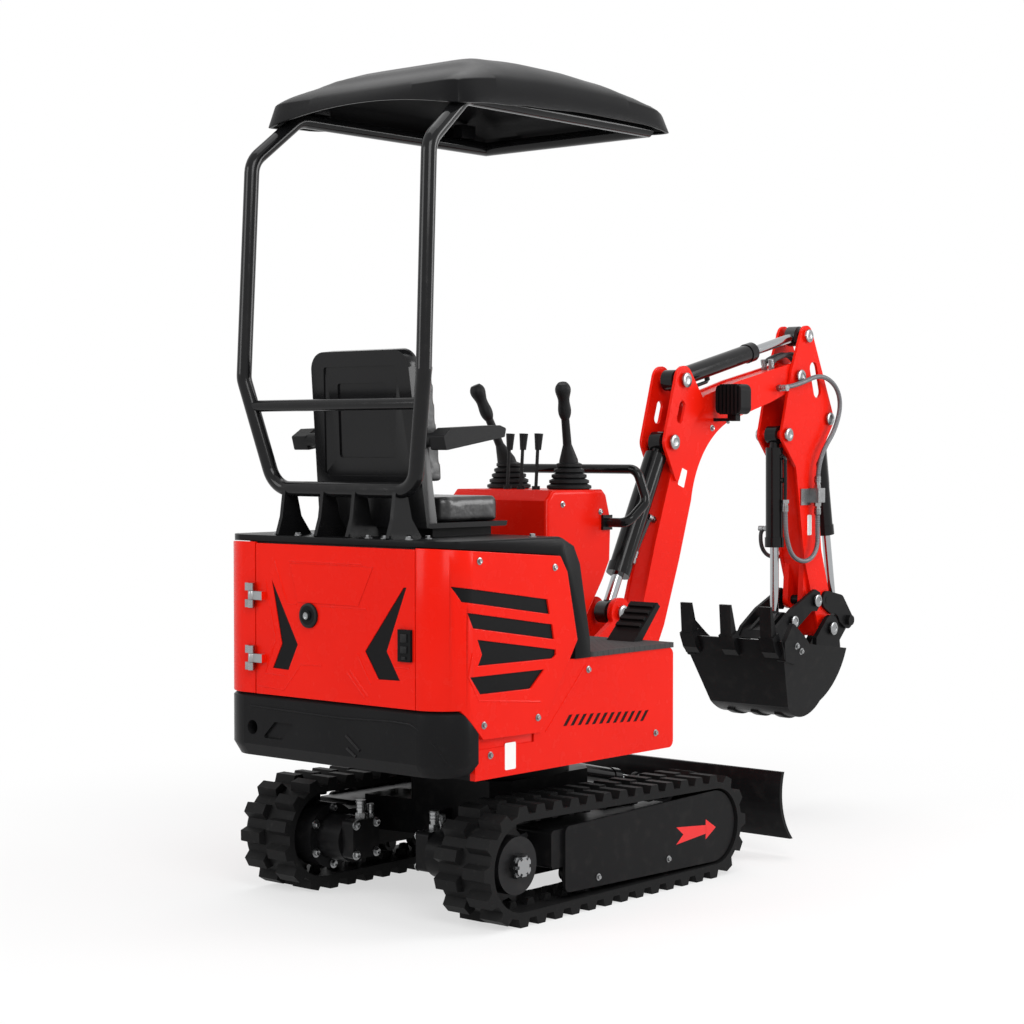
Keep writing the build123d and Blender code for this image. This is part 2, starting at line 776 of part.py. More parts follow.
# Rear door on two hinges, with pockets for its dark inserts
chevrons = (
    ((215.0, 910.0), (112.0, 735.0), (149.0, 663.0), (211.0, 665.0), (175.0, 733.0)),
    ((-283.0, 906.0), (-294.0, 907.0), (-223.0, 737.0), (-270.0, 663.0), (-192.0, 661.0), (-143.0, 732.0)),
)
leaf_edge = door_left - panel_gap
with BuildPart() as rear_door:
    add(block((rear_x, door_right, door_low), (rear_x + door_wall, leaf_edge, door_top)))
    relief = [(140, door_top - 51), (-175, door_top - 51), (-120, door_top - 156), (110, door_top - 156)]
    add(rear_plate(relief, rear_x - door_relief, rear_x))
    for points in chevrons:
        add(rear_plate(points, rear_x - 5, rear_x + insert_depth), mode=Mode.SUBTRACT)
    for z in hinge_z:
        low, high = z - knuckle_half, z + knuckle_half
        add(block((hinge_x - 2, leaf_edge - 38, low), (rear_x, leaf_edge, high)))
        add(rod((hinge_x, hinge_y, low), (hinge_x, hinge_y, high), hinge_r))
        add(block((hinge_x - 2, leaf_edge - 1, low), (hinge_x + 4, hinge_y, high)))
        add(rod((hinge_x, hinge_y, low - 1), (hinge_x, hinge_y, high + 1), hinge_pin_r + pin_gap),
            mode=Mode.SUBTRACT)
save(rear_door, "rear_door")

with BuildPart() as door_hinges:
    for z in hinge_z:
        add(rod((hinge_x, hinge_y, z - hinge_half), (hinge_x, hinge_y, z + hinge_half), hinge_pin_r))
        gap = knuckle_half + layer_gap / 2
        for low, high in ((z - hinge_half, z - gap), (z + gap, z + hinge_half)):
            add(rod((hinge_x, hinge_y, low), (hinge_x, hinge_y, high), hinge_r))
            add(block((hinge_x, hinge_y, low), (rear_x, hinge_y + 26, high)))
save(door_hinges, "door_hinges")

with BuildPart() as door_lock:
    y, z = lock_spot
    add(rod((rear_x, y, z), (rear_x - 8, y, z), lock_r))
    add(rod((rear_x, y, z), (rear_x - 12, y, z), lock_r - 12))
    add(block((rear_x - 8, *switch_low), (rear_x, *switch_high)))
    for points in chevrons:
        add(rear_plate(points, rear_x + insert_sink, rear_x + insert_depth))
save(door_lock, "door_lock")

# Console, levers and joysticks
with BuildPart() as console:
    add(slab([(-10, mat_top), (-10, console_top - 30), (20, console_top), (console_front - 42, console_top),
              (console_front - 24, console_top - 16), (console_front, console_top - 92),
              (console_front - 5, console_top - 211), (console_front - 38, console_top - 268),
              (console_front - 165, mat_top)], -console_half, console_half))
    for face in (console.faces().sort_by(Axis.Y)[0], console.faces().sort_by(Axis.Y)[-1]):
        fillet(face.edges().sort_by(Axis.Z)[1:], console_round)
save(console, "console")

with BuildPart() as joysticks:
    foot = (stick_x, console_top)
    folds = []
    for fold in range(5):
        edge = boot_r - fold * 7
        folds += [near(foot, edge, fold * 16 + 3), near(foot, edge, fold * 16 + 11),
                  near(foot, edge - 12, fold * 16 + 16)]
    for y in (stick_y, -stick_y):
        with BuildSketch(Plane.XZ.offset(-y)):
            with BuildLine():
                Polyline(foot, near(foot, boot_r - 8, 0), *folds, near(foot, 0, 80), close=True)
            make_face()
        revolve(axis=Axis((stick_x, y, 0), (0, 0, 1)))
        base = Vector(stick_x, y, console_top + 64)
        up = Vector(stick_top[0], y + (stick_out if y > 0 else -stick_out), stick_top[1]) - base
        tall, up = up.length, up.normalized()
        out = up.cross(Vector(0, 1, 0)).normalized()
        with BuildSketch(Plane(origin=base, x_dir=out, z_dir=out.cross(up))):
            with BuildLine():
                Polyline((12, tall - 112), (13, 74), (28, 22), (28, 0), (0, 0), (0, tall), (14, tall))
                Spline((12, tall - 112), (19, tall - 80), (17, tall - 50), (23, tall - 22), (14, tall))
            make_face()
        revolve(axis=Axis(base, up))
save(joysticks, "joysticks")

with BuildPart() as levers:
    for y in lever_y:
        add(rod((lever_x, y, console_top), (lever_x, y, console_top + 10), 12))
        add(rod((lever_x, y, console_top + 5), (lever_x + lever_lean, y, lever_top), 5))
        with BuildSketch(Plane((lever_x + lever_lean, y, lever_top - 30),
                               z_dir=(lever_lean, 0, lever_top - console_top))):
            Circle(9)
        extrude(amount=48, taper=-5)
save(levers, "levers")

with BuildPart() as grab_rail:
    right = [(262, -console_half + 2, 1048), (262, -272, 1048), (330, -290, 1110), (318, -262, 1205)]
    left = [(x, -y, z) for x, y, z in reversed(right)]
    add(pipe(right + left, rail_r, rail_bend))
    for side in both(block((240, console_half, 1026), (284, console_half + 8, 1070))):
        add(side)
    add(block((200, -console_half, 1000), (290, console_half, 1090)), mode=Mode.SUBTRACT)
save(grab_rail, "grab_rail")

with BuildPart() as pedal:
    outer = skirt_half - pedal_inset
    add(slab([(222, mat_top), (262, mat_top), (350, mat_top + 96), (338, mat_top + 108)],
             -outer, -outer + pedal_width))
    for index in range(4):
        foot = (262 + index * 20, mat_top + 37 + index * 18)
        add(slab([foot, near(foot, 9, 8), near(foot, 3, 15), near(foot, -6, 7)],
                 -outer + 6, -outer + pedal_width - 6))
save(pedal, "pedal")

# Seat
with BuildPart() as seat_base:
    add(block((-470, -170, hood_top), (-230, 170, seat_low)))
save(seat_base, "seat_base")

back_foot = (-500.0, seat_low + 108)
back_head = (-545.0, seat_low + 488)
lean = Vector(back_head[0] - back_foot[0], 0, back_head[1] - back_foot[1]).normalized()
rear_foot = Vector(back_foot[0] - shell_deep, 0, back_foot[1])
rear_origin = rear_foot - lean * (back_foot[1] - seat_low)
rear_side = Plane(origin=rear_origin, x_dir=(0, 1, 0), z_dir=(lean.Z, 0, -lean.X))
back_high = back_head[1] - seat_low - 6
with BuildPart() as seat_shell:
    with BuildSketch(rear_side) as outline:
        with BuildLine():
            Polyline((-seat_half, 0), (seat_half, 0), (seat_half - 22, back_high),
                     (22 - seat_half, back_high), close=True)
        make_face()
        fillet(outline.vertices().group_by(Axis.Y)[-1], 52)
    extrude(amount=shell_deep * lean.Z - seat_gap)
    for low, high, foot_half, head_half, deep in ((140, back_high - 42, 165, 136, 5),
                                                  (190, back_high - 88, 107, 92, 10)):
        with BuildSketch(rear_side) as frame:
            with BuildLine():
                Polyline((-foot_half, low), (foot_half, low), (head_half, high), (-head_half, high),
                         close=True)
            make_face()
            fillet(frame.vertices(), 8)
        extrude(amount=deep, mode=Mode.SUBTRACT)
    add(slab([(-520, seat_low), (-205, seat_low), (-200, seat_low + shell_t), (-520, seat_low + shell_t)],
             -seat_half, seat_half))
save(seat_shell, "seat_shell")

with BuildPart() as seat_cushion:
    add(block((-462, -seat_half, seat_low + shell_t), (-190, seat_half, seat_low + shell_t + cushion_t)))
    fillet(seat_cushion.edges().filter_by(Axis.Z), 40)
    fillet(seat_cushion.faces().sort_by(Axis.Z)[-1].edges(), 18)
save(seat_cushion, "seat_cushion")

with BuildPart() as seat_back:
    slope = (back_head[0] - back_foot[0]) / (back_head[1] - back_foot[1])
    rise = back_head[1] - 10 - back_foot[1]
    add(slab([back_foot, near(back_foot, 68, 0), near(back_foot, 22, rise),
              near(back_foot, slope * rise, rise)], -seat_half + 12, seat_half - 12))
    fillet(seat_back.faces().sort_by(Axis.Z)[-1].edges().filter_by(Axis.X), 30)
save(seat_back, "seat_back")

with BuildPart() as armrests:
    pad = (-556.0, seat_low + 248)
    inner_y = seat_half + armrest_gap
    for side in both(slab([near(pad, 11, -38), near(pad, 246, -2), near(pad, 252, 22), near(pad, 226, 30),
                           near(pad, 36, 22), pad], inner_y, inner_y + armrest_width, 5)):
        add(side)
    pivot = near(pad, 21, -10)
    shell_side = seat_half - 22 * (pivot[1] - 20 - seat_low) / back_high + seat_gap
    for side in both(cross_bar(pivot, 20, shell_side, inner_y)):
        add(side)
save(armrests, "armrests")

# Roll-over frame and its plates on the hood
with BuildPart() as canopy_frame:
    roof_front = canopy_front - 52
    half = [(roof_front, rops_half - 20, roof_tube_z), (canopy_back + 92, rops_half - 20, roof_tube_z),
            (canopy_back - 68, rops_half, roof_tube_z - 132), (rear_x + 17, rops_half + 6, hood_top + 432),
            (rear_x + 64, rops_half - 70, hood_top + 128)]
    other = [(x, -y, z) for x, y, z in reversed(half)]
    add(pipe(half + other, tube_r, tube_bend))
    bar_z = hood_top + 356
    add(rod((rear_x + 30, 17 - rops_half, bar_z), (rear_x + 30, rops_half - 17, bar_z), bar_r))
    foot = (rear_x + 15, hood_top)
    for y in (-210, -60, 60, 210):
        add(slab([foot, near(foot, 130, 0), near(foot, 90, 52), near(foot, 68, 136), near(foot, 30, 136),
                  near(foot, 18, 52)], y - post_plate / 2, y + post_plate / 2, 4))
    add(rod((roof_front, 20 - rops_half, roof_tube_z), (roof_front, rops_half - 20, roof_tube_z), tube_r))
save(canopy_frame, "canopy_frame")

# Roof curved along and across, drawn in from its outside by an inset.
def roof(inset):
    back, front, half = canopy_back + inset, canopy_front - inset, canopy_half - inset
    level = rim_top - inset
    low = rim_low - inset
    side = [(back, level + 30), (back + 28, level + 68), (back + 120, level + 82), (back + 220, level + 112),
            (back + 340, level + dome_rise), (front - 250, level + dome_rise - 4),
            (front - 110, level + dome_rise - 34), (front - 30, level + 58), (front, level + 26)]
    cross = [(half, level + 26), (half - 18, level + 58), (half - 60, level + dome_rise - 32),
             (half - 105, level + dome_rise - 13), (half - 200, level + dome_rise),
             (0, level + dome_rise + 5)]
    cross += [(-y, z) for y, z in reversed(cross[:-1])]
    with BuildPart() as item:
        with BuildSketch(Plane.XZ.offset(-half)):
            with BuildLine():
                Spline(*side)
                Polyline(side[-1], (front, low + front_lift), (back, low), side[0])
            make_face()
        extrude(amount=2 * half)
        with BuildSketch(Plane.YZ.offset(back)):
            with BuildLine():
                Spline(*cross)
                Polyline(cross[-1], (-half, low), (half, low), cross[0])
            make_face()
        extrude(amount=front - back, mode=Mode.INTERSECT)
        with BuildSketch(Plane.XY.offset(low)):
            with Locations(((back + front) / 2, 0)):
                RectangleRounded(front - back - rim_trim, 2 * half - rim_trim, rim_corner - inset)
        extrude(amount=rim_depth + 2 * dome_rise, mode=Mode.INTERSECT)
    return item.part


# Canopy: a thin domed roof with pads that sit on the roof tubes
with BuildPart() as pads:
    for x in (canopy_back + 170, canopy_front - 150):
        for y in (rops_half - 20, 20 - rops_half):
            add(block((x - pad_long / 2, y - tube_r, roof_tube_z + tube_r + seat_gap),
                      (x + pad_long / 2, y + tube_r, rim_top + dome_rise)))
    add(roof(canopy_wall / 2), mode=Mode.INTERSECT)
with BuildPart() as canopy:
    add(roof(0))
    add(roof(canopy_wall), mode=Mode.SUBTRACT)
    add(pads.part)
save(canopy, "canopy")


# Side view of the boom.
def boom_face():
    rear_knee, rear_top = near(boom_ram_head, 17, -71), near(arm_ram_head, 166, -35)
    nose_top, nose_low = near(elbow, -20, 48), near(elbow, -40, -50)
    front_top, front_knee = near(elbow, -389, -151), near(boom_ram_head, 115, -186)
    heel_front, heel_rear = near(boom_foot, 46, -16), near(boom_foot, -48, -4)
    with BuildSketch() as face:
        with BuildLine():
            Polyline(heel_rear, near(boom_foot, -18, 114), near(boom_foot, 70, 377), rear_knee)
            ThreePointArc(rear_knee, near(boom_ram_head, 97, 84), rear_top)
            Polyline(rear_top, near(elbow, -332, -18), nose_top)
            ThreePointArc(nose_top, near(elbow, 50, 0), nose_low)
            Polyline(nose_low, near(elbow, -154, -88), front_top)
            ThreePointArc(front_top, near(boom_ram_head, 192, -24), front_knee)
            Polyline(front_knee, near(boom_foot, 193, 309), near(boom_foot, 114, 106), heel_front)
            ThreePointArc(heel_front, near(boom_foot, -10, -48), heel_rear)
        make_face()
    return face.sketch


# Boom: two side plates, a narrower core between them, and bracket plates for two ram heads
ram_heads = (boom_ram_head, arm_ram_head)
with BuildPart() as boom:
    with BuildSketch(Plane.XZ.offset(-boom_half)):
        add(boom_face())
    extrude(amount=boom_plate)
    bracket_out = boom_half + boom_bracket
    add(lobes([(arm_ram_head, 46), (boom_ram_head, 42), (near(arm_ram_head, 70, -70), 34)],
              boom_half, bracket_out))
    add(lobes([(boom_ram_head, 42), (near(boom_ram_head, 26, -112), 12), (near(boom_ram_head, 90, 40), 16)],
              boom_half, bracket_out))
    with BuildSketch(Plane.XZ.offset(-bracket_out)):
        with Locations(near(boom_ram_head, 46, 96)):
            SlotOverall(76, 32, rotation=72)
    extrude(amount=boom_bracket, mode=Mode.SUBTRACT)
    mirror(about=Plane.XZ)
    with BuildSketch(Plane.XZ.offset(boom_plate - boom_half)):
        add(boom_face())
        offset(amount=-boom_inset, kind=Kind.INTERSECTION)
    extrude(amount=2 * (boom_half - boom_plate))
    room = 34 + eye_room
    outside = near(boom_ram_head, -80, 160)
    add(lobes([(boom_ram_head, room), (arm_ram_head, room), (outside, room)], -boom_half, boom_half),
        mode=Mode.SUBTRACT)
    for spot in (boom_foot, elbow):
        add(cross_bar(spot, pin_r + pin_gap, -boom_half - 1, boom_half + 1), mode=Mode.SUBTRACT)
    for spot in ram_heads:
        add(cross_bar(spot, pin_r, -bracket_out - pin_head, bracket_out + pin_head))
save(boom, "boom")

# Work light with a finned back, on a bracket at the boom's right side
light_x, light_z = 1000.0, 1425.0
light_deep, light_wide, light_high = 58.0, 100.0, 98.0
light_y = -boom_half - 22 - light_wide / 2
with BuildPart() as work_light:
    with BuildSketch(Plane.YZ.offset(light_x)):
        with Locations((light_y, light_z)):
            RectangleRounded(light_wide, light_high, 22)
    extrude(amount=light_deep)
    with BuildSketch(Plane.YZ.offset(light_x)):
        with Locations((light_y, light_z)):
            with GridLocations(15, 0, 6, 1):
                Rectangle(6, light_high + 2)
    extrude(amount=16, mode=Mode.SUBTRACT)
    with BuildSketch(Plane.YZ.offset(light_x + light_deep)):
        with Locations((light_y, light_z)):
            RectangleRounded(light_wide - 16, light_high - 16, 15)
    extrude(amount=-5, mode=Mode.SUBTRACT)
    foot_z = light_z - light_high / 2
    add(block((light_x + 20, light_y - 16, foot_z - 22), (light_x + 46, light_y + 16, foot_z + 2)))
    add(block((light_x + 20, light_y - 16, foot_z - 22), (light_x + 46, -boom_half, foot_z - 12)))
save(work_light, "work_light")

# Arm: side plates round the pins, a narrower core between them, and ears for the thumb
leg_head = near(elbow, 43, -280)
leg_knee = near(bucket_pin, -77, 263)
arm_lobes = (
    [(arm_ram_eye, 36), (elbow, 50), (bucket_ram_head, 36)],
    [(elbow, 48), (thumb_ram_head, 32), (leg_head, 64), (bucket_ram_head, 36)],
    [(leg_head, 64), (leg_knee, 55)],
    [(leg_knee, 55), (rocker_pin, 32), (bucket_pin, 36)],
)
with BuildPart() as arm:
    for circles in arm_lobes:
        add(lobes(circles, arm_in, arm_out))
    with BuildSketch(Plane.XZ.offset(-arm_out)):
        with Locations(near(elbow, 102, -8)):
            SlotOverall(128, 46, rotation=107)
    extrude(amount=arm_plate, mode=Mode.SUBTRACT)
    mirror(about=Plane.XZ)
    for circles in arm_lobes[2:]:
        add(lobes([(spot, radius - arm_inset) for spot, radius in circles], -arm_in, arm_in))
    for side in both(lobes([(thumb_pin, 32), (near(thumb_pin, 10, 120), 34), (rocker_pin, 28)], 20, arm_in)):
        add(side)
    for spot in (elbow, bucket_ram_head, thumb_ram_head):
        add(cross_bar(spot, pin_r, -arm_out - pin_head, arm_out + pin_head))
    for side in both(cross_bar(arm_ram_eye, pin_head_r, arm_out, arm_out + pin_head)):
        add(side)
    for spot, bore in ((bucket_pin, pin_r), (rocker_pin, rocker_pin_r), (thumb_pin, pin_r)):
        add(cross_bar(spot, bore + pin_gap, -arm_out - 1, arm_out + 1), mode=Mode.SUBTRACT)
    port_x, port_z = leg_knee[0] - 10, leg_knee[1] + 46
    add(block((port_x - 13, arm_out, port_z - 15), (port_x + 13, arm_out + 26, port_z + 15)))
save(arm, "arm")

# Valve block on the arm's right side
valve_x, valve_z = leg_head[0] + 19, leg_head[1] - 160
with BuildPart() as arm_valve:
    add(block((valve_x - 52, -arm_out - 4, valve_z), (valve_x + 6, -arm_out, valve_z + 56)))
    add(block((valve_x, -arm_out - 42, valve_z + 8), (valve_x + 42, -arm_out, valve_z + 58)))
    fillet(arm_valve.faces().sort_by(Axis.Y)[0].edges(), 4)
save(arm_valve, "arm_valve")

# Rocker plates of the bucket linkage, curved over the arm's nose
with BuildPart() as rocker:
    span = Vector(ram_joint[0] - rocker_pin[0], ram_joint[1] - rocker_pin[1])
    rise = Vector(-span.Y, span.X).normalized()
    centre = Vector(*rocker_pin) + span * 0.5
    crown, hollow = centre + rise * 28, centre - rise * 62
    add(lobes([(rocker_pin, 32), ((crown.X, crown.Y), 30), (ram_joint, 30)], rocker_in, rocker_out))
    add(cross_bar((hollow.X, hollow.Y), 44, rocker_in, rocker_out), mode=Mode.SUBTRACT)
    add(cross_bar(ram_joint, 18, rocker_out, rocker_out + 14))
    mirror(about=Plane.XZ)
    add(cross_bar(rocker_pin, rocker_pin_r, -rocker_out - 1, rocker_out + 1))
save(rocker, "rocker")

# Link between rocker and bucket
with BuildPart() as bucket_link:
    link_in, link_out = eye_half + 2, arm_out - 1
    for side in both(lobes([(link_pin, 22), (ram_joint, 25)], link_in, link_out)):
        add(side)
    add(cross_bar(link_pin, 28, -ear_in + layer_gap, ear_in - layer_gap))
    add(cross_bar(link_pin, pin_r + pin_gap, -ear_in - 1, ear_in + 1), mode=Mode.SUBTRACT)
    add(cross_bar(ram_joint, pin_r, -ear_in - 1, ear_in + 1), mode=Mode.SUBTRACT)
save(bucket_link, "bucket_link")


# Volume of the bucket grown or shrunk by an inset, narrower toward the floor.
def bowl(inset):
    front = near(lip, inset, 0)
    knee = near(bucket_knee, inset, 0)
    low = near(bucket_low, 0, inset)
    heel = near(bucket_heel, -inset / 2, inset)
    rear = near(bucket_rear, -inset, 0)
    back = near(bucket_back, -inset, 0)
    with BuildPart() as item:
        with BuildSketch(Plane.XZ.offset(-lip_half - 20)):
            with BuildLine():
                Line(front, knee)
                ThreePointArc(knee, low, heel)
                ThreePointArc(heel, rear, back)
                if inset:
                    over = lip[1] + 100
                    Polyline(back, (back[0], over), (front[0], over), front)
                else:
                    Line(back, front)
            make_face()
        extrude(amount=2 * lip_half + 40)
        wide, tight = lip_half - inset, floor_half - inset
        low_z, high_z = bucket_low[1] - 20, lip[1] + 110
        half = [(wide, high_z), (wide, lip[1]), (tight, bucket_low[1]), (tight, low_z)]
        with BuildSketch(Plane.YZ.offset(lip[0] - 100)):
            with BuildLine():
                Polyline(*half, *[(-y, z) for y, z in reversed(half)], close=True)
            make_face()
        extrude(amount=bucket_back[0] - lip[0] + 200, mode=Mode.INTERSECT)
    return item.part


# Cutting edge: a doubled plate along the bucket's lip.
def lip_bar():
    with BuildPart() as item:
        add(bowl(-lip_plate))
        add(slab([near(lip, -40, 0), near(lip, -40, -lip_depth), near(lip, 60, -lip_depth), near(lip, 60, 0)],
                 -lip_half - 1, lip_half + 1), mode=Mode.INTERSECT)
        add(bowl(bucket_wall), mode=Mode.SUBTRACT)
    return item.part


# Side cutters of the bucket
side_line = [near(lip, 4, -6), near(lip, 55, 57), near(lip, 160, -21), near(lip, 95, -86), near(lip, 30, -70)]
with BuildPart() as cutter_band:
    for side in both(slab(side_line, lip_half - 40, lip_half + 30, 6)):
        add(side)
with BuildPart() as cutters:
    add(bowl(-cutter_plate))
    add(cutter_band.part, mode=Mode.INTERSECT)

# Wear strips under the bucket
with BuildPart() as strip_band:
    for y in rib_y:
        add(block((bucket_knee[0] + 30, y - wear_width / 2, bucket_low[1] - 30),
                  (bucket_back[0] + 30, y + wear_width / 2, bucket_rear[1])))
with BuildPart() as strips:
    add(bowl(-wear_plate))
    add(strip_band.part, mode=Mode.INTERSECT)

# Bucket with its cutting edge, side cutters, wear strips and ears
with BuildPart() as bucket:
    add(bowl(0))
    add(cutters.part)
    add(strips.part)
    add(lip_bar())
    root, lobe = near(bucket_pin, -107, -107), near(bucket_pin, -52, -159)
    for circles in ([(bucket_pin, 46), (link_pin, 38), (root, 52)], [(root, 52), (lobe, 34)]):
        for side in both(lobes(circles, ear_in, ear_out)):
            add(side)
    add(bowl(bucket_wall), mode=Mode.SUBTRACT)
    for spot in (bucket_pin, link_pin):
        add(cross_bar(spot, pin_r, -ear_out - pin_head, ear_out + pin_head))
save(bucket, "bucket")

# Directions down the lip's front and out from it
fall = Vector(bucket_knee[0] - lip[0], bucket_knee[1] - lip[1]).normalized()
away = Vector(fall.Y, -fall.X)


# A spot measured from the lip.
def on_lip(down, out):
    return lip[0] + fall.X * down + away.X * out, lip[1] + fall.Y * down + away.Y * out


# Teeth: an adapter under the lip and a point on top of it
with BuildPart() as bucket_teeth:
    for y in tooth_y:
        add(slab([on_lip(58, 0), on_lip(56, 18), on_lip(30, 28), on_lip(-22, 26), on_lip(-22, -12),
                  on_lip(0, -12)], y - adapter_half, y + adapter_half))
        add(slab([on_lip(-20, 23), tooth_tip, near(tooth_tip, 9, 1), on_lip(-20, -9)],
                 y - tooth_half, y + tooth_half))
    add(bowl(0), mode=Mode.SUBTRACT)
    add(lip_bar(), mode=Mode.SUBTRACT)
save(bucket_teeth, "bucket_teeth")

# Thumb: two toothed plates, a cross plate and inner lugs for its ram
with BuildPart() as thumb:
    tip, root = near(thumb_pin, -288, -135), near(thumb_pin, -134, -99)
    grip = []
    for tooth in range(3):
        start = near(tip, (root[0] - tip[0]) * tooth / 3, (root[1] - tip[1]) * tooth / 3)
        grip += [start, near(start, 40, -8)]
    line = [near(thumb_pin, 32, -15), near(thumb_pin, 28, 27), near(thumb_pin, -4, 39),
            near(thumb_pin, -34, 27), near(thumb_pin, -154, -23), near(thumb_pin, -244, -79), *grip, root,
            near(thumb_pin, -24, -35), near(thumb_pin, 6, -37)]
    for side in both(slab(line, thumb_in, thumb_out)):
        add(side)
    add(slab([near(thumb_pin, -206, -76), near(thumb_pin, -246, -90), near(thumb_pin, -266, -117),
              near(thumb_pin, -250, -121), near(thumb_pin, -232, -107), near(thumb_pin, -200, -92)],
             -thumb_in, thumb_in))
    for side in both(lobes([(thumb_ram_eye, 30), (near(thumb_pin, -236, -98), 14)],
                           eye_half + 3, eye_half + 15)):
        add(side)
    add(cross_bar(thumb_pin, pin_r, -thumb_out - pin_head, thumb_out + pin_head))
    for side in both(cross_bar(thumb_ram_eye, pin_r, eye_half + 3, thumb_out + pin_head)):
        add(side)
save(thumb, "thumb")

# Hoses: one bundle round the elbow, two at the thumb's ram and one at the boom's ram
valve_port = (valve_x + 21, -arm_out - 23)
with BuildPart() as elbow_hoses:
    side = near(elbow, -114, -40)
    add(hose([(side[0], -boom_half, side[1]), (side[0], -boom_half - 24, side[1]), (1478, -75, 1485),
              (1603, -78, 1522), (1700, -80, 1486), (1733, -80, 1417), (1694, -80, 1329), (1622, -78, 1260),
              (*valve_port, valve_z + 118), (*valve_port, valve_z + 58)], hose_r))
    for y in (-15, 15):
        add(hose([(1395.6, y, 1533.2), (1390.6, y, 1557), (1450, y, 1580), (1540, y, 1594), (1606, y, 1540),
                  (1616, y, 1430), (1571.5, y, 1343), (1562.1, y, 1287.7)], hose_r))
save(elbow_hoses, "elbow_hoses")

with BuildPart() as hose_arm_thumb:
    end, lead = rams["thumb"][2]
    add(hose([(*valve_port, valve_z + 8), (*valve_port, valve_z - 62), (1590, -78, 915), (1530, -74, 872),
              (1462, -58, 890), (1441, -46, 960), lead, end], hose_r))
save(hose_arm_thumb, "hose_arm_thumb")

with BuildPart() as hose_thumb_low:
    low_port = (thumb_ram_head[0] + 2, thumb_ram_head[1] - 322)
    add(hose([(low_port[0], 30.2, low_port[1]), (low_port[0], 56, low_port[1]), (low_port[0], 57, 936),
              (1466, 58, 902), (1520, 62, 886), (port_x - 8, 64, 888), (port_x, arm_out + 13, port_z - 45),
              (port_x, arm_out + 13, port_z - 15)], hose_r - 1))
save(hose_thumb_low, "hose_thumb_low")

with BuildPart() as hose_boom_ram:
    end, lead = rams["boom"][2]
    add(hose([end, lead, (696, -6, 1012), (714.5, -10, 1047), (737.6, -12, 1038.4)], hose_r))
save(hose_boom_ram, "hose_boom_ram")
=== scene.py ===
import math

import bpy
from mathutils import Matrix, Vector


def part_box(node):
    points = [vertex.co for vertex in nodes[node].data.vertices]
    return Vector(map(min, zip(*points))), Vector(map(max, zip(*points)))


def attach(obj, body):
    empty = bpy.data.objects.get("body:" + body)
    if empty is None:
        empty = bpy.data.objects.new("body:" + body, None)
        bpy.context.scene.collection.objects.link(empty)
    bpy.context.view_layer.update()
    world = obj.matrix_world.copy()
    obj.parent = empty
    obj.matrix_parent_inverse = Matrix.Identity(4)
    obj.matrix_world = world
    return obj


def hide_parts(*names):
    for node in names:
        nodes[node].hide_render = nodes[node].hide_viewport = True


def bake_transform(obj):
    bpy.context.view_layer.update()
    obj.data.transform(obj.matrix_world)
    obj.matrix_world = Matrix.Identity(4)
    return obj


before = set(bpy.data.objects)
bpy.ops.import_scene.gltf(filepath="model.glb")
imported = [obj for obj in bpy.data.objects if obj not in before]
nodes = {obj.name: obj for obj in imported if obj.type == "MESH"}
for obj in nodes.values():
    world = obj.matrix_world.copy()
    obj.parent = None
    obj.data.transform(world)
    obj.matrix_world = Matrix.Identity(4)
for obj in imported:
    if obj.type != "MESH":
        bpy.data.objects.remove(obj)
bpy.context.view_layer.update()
print("frame loaded:", len(nodes), "nodes")

# Finishes


class Wire:
    # a node's output, so that shader maths reads as a plain expression
    def __init__(self, finish, socket):
        self.finish = finish
        self.socket = socket

    def maths(self, operation, first, second):
        return self.finish.node("ShaderNodeMath", {"operation": operation}, {0: first, 1: second})

    def __add__(self, other):
        return self.maths("ADD", self, other)

    def __radd__(self, other):
        return self.maths("ADD", other, self)

    def __sub__(self, other):
        return self.maths("SUBTRACT", self, other)

    def __rsub__(self, other):
        return self.maths("SUBTRACT", other, self)

    def __mul__(self, other):
        return self.maths("MULTIPLY", self, other)


class Finish:
    inputNames = {"colour": "Base Color", "roughness": "Roughness", "metallic": "Metallic", "coat": "Coat Weight",
                  "coatRoughness": "Coat Roughness", "normal": "Normal", "specular": "Specular IOR Level"}

    def __init__(self, owner):
        self.material = owner
        owner.use_nodes = True
        self.tree = owner.node_tree
        self.shader = self.tree.nodes.get("Principled BSDF") or self.tree.nodes["Background"]

    def plug(self, socket, value):
        if isinstance(value, Wire):
            self.tree.links.new(value.socket, socket)
        else:
            socket.default_value = value

    def node(self, kind, settings=None, sockets=None, output=0):
        item = self.tree.nodes.new(kind)
        for key, value in (settings or {}).items():
            if key == "stops":
                while len(item.color_ramp.elements) < len(value):
                    item.color_ramp.elements.new(0.5)
                for stop, (place, tone) in zip(item.color_ramp.elements, value):
                    stop.position = place
                    stop.color = tone if hasattr(tone, "__len__") else (tone, tone, tone, 1)
            else:
                setattr(item, key, value)
        for key, value in (sockets or {}).items():
            self.plug(item.inputs[key], value)
        return Wire(self, item.outputs[output])

    def spot(self):
        return self.node("ShaderNodeTexCoord", output="Object")

    def noise(self, scale, detail=3.0):
        return self.node("ShaderNodeTexNoise", {}, {"Vector": self.spot(), "Scale": scale, "Detail": detail})

    def ramp(self, value, low, high):
        return self.node("ShaderNodeValToRGB", {"stops": [(low, 0.0), (high, 1.0)]}, {"Fac": value})

    def mix(self, factor, first, second):
        first, second = ((*tone, 1) if isinstance(tone, tuple) else tone for tone in (first, second))
        return self.node("ShaderNodeMix", {"data_type": "RGBA"}, {0: factor, 6: first, 7: second}, 2)

    def bump(self, height, strength, depth):
        return self.node("ShaderNodeBump", {}, {"Strength": strength, "Distance": depth, "Height": height})

    def wear(self, **values):
        for key, value in values.items():
            tone = (*value, 1) if isinstance(value, tuple) and len(value) == 3 else value
            self.plug(self.shader.inputs[self.inputNames[key]], tone)
        return self.material


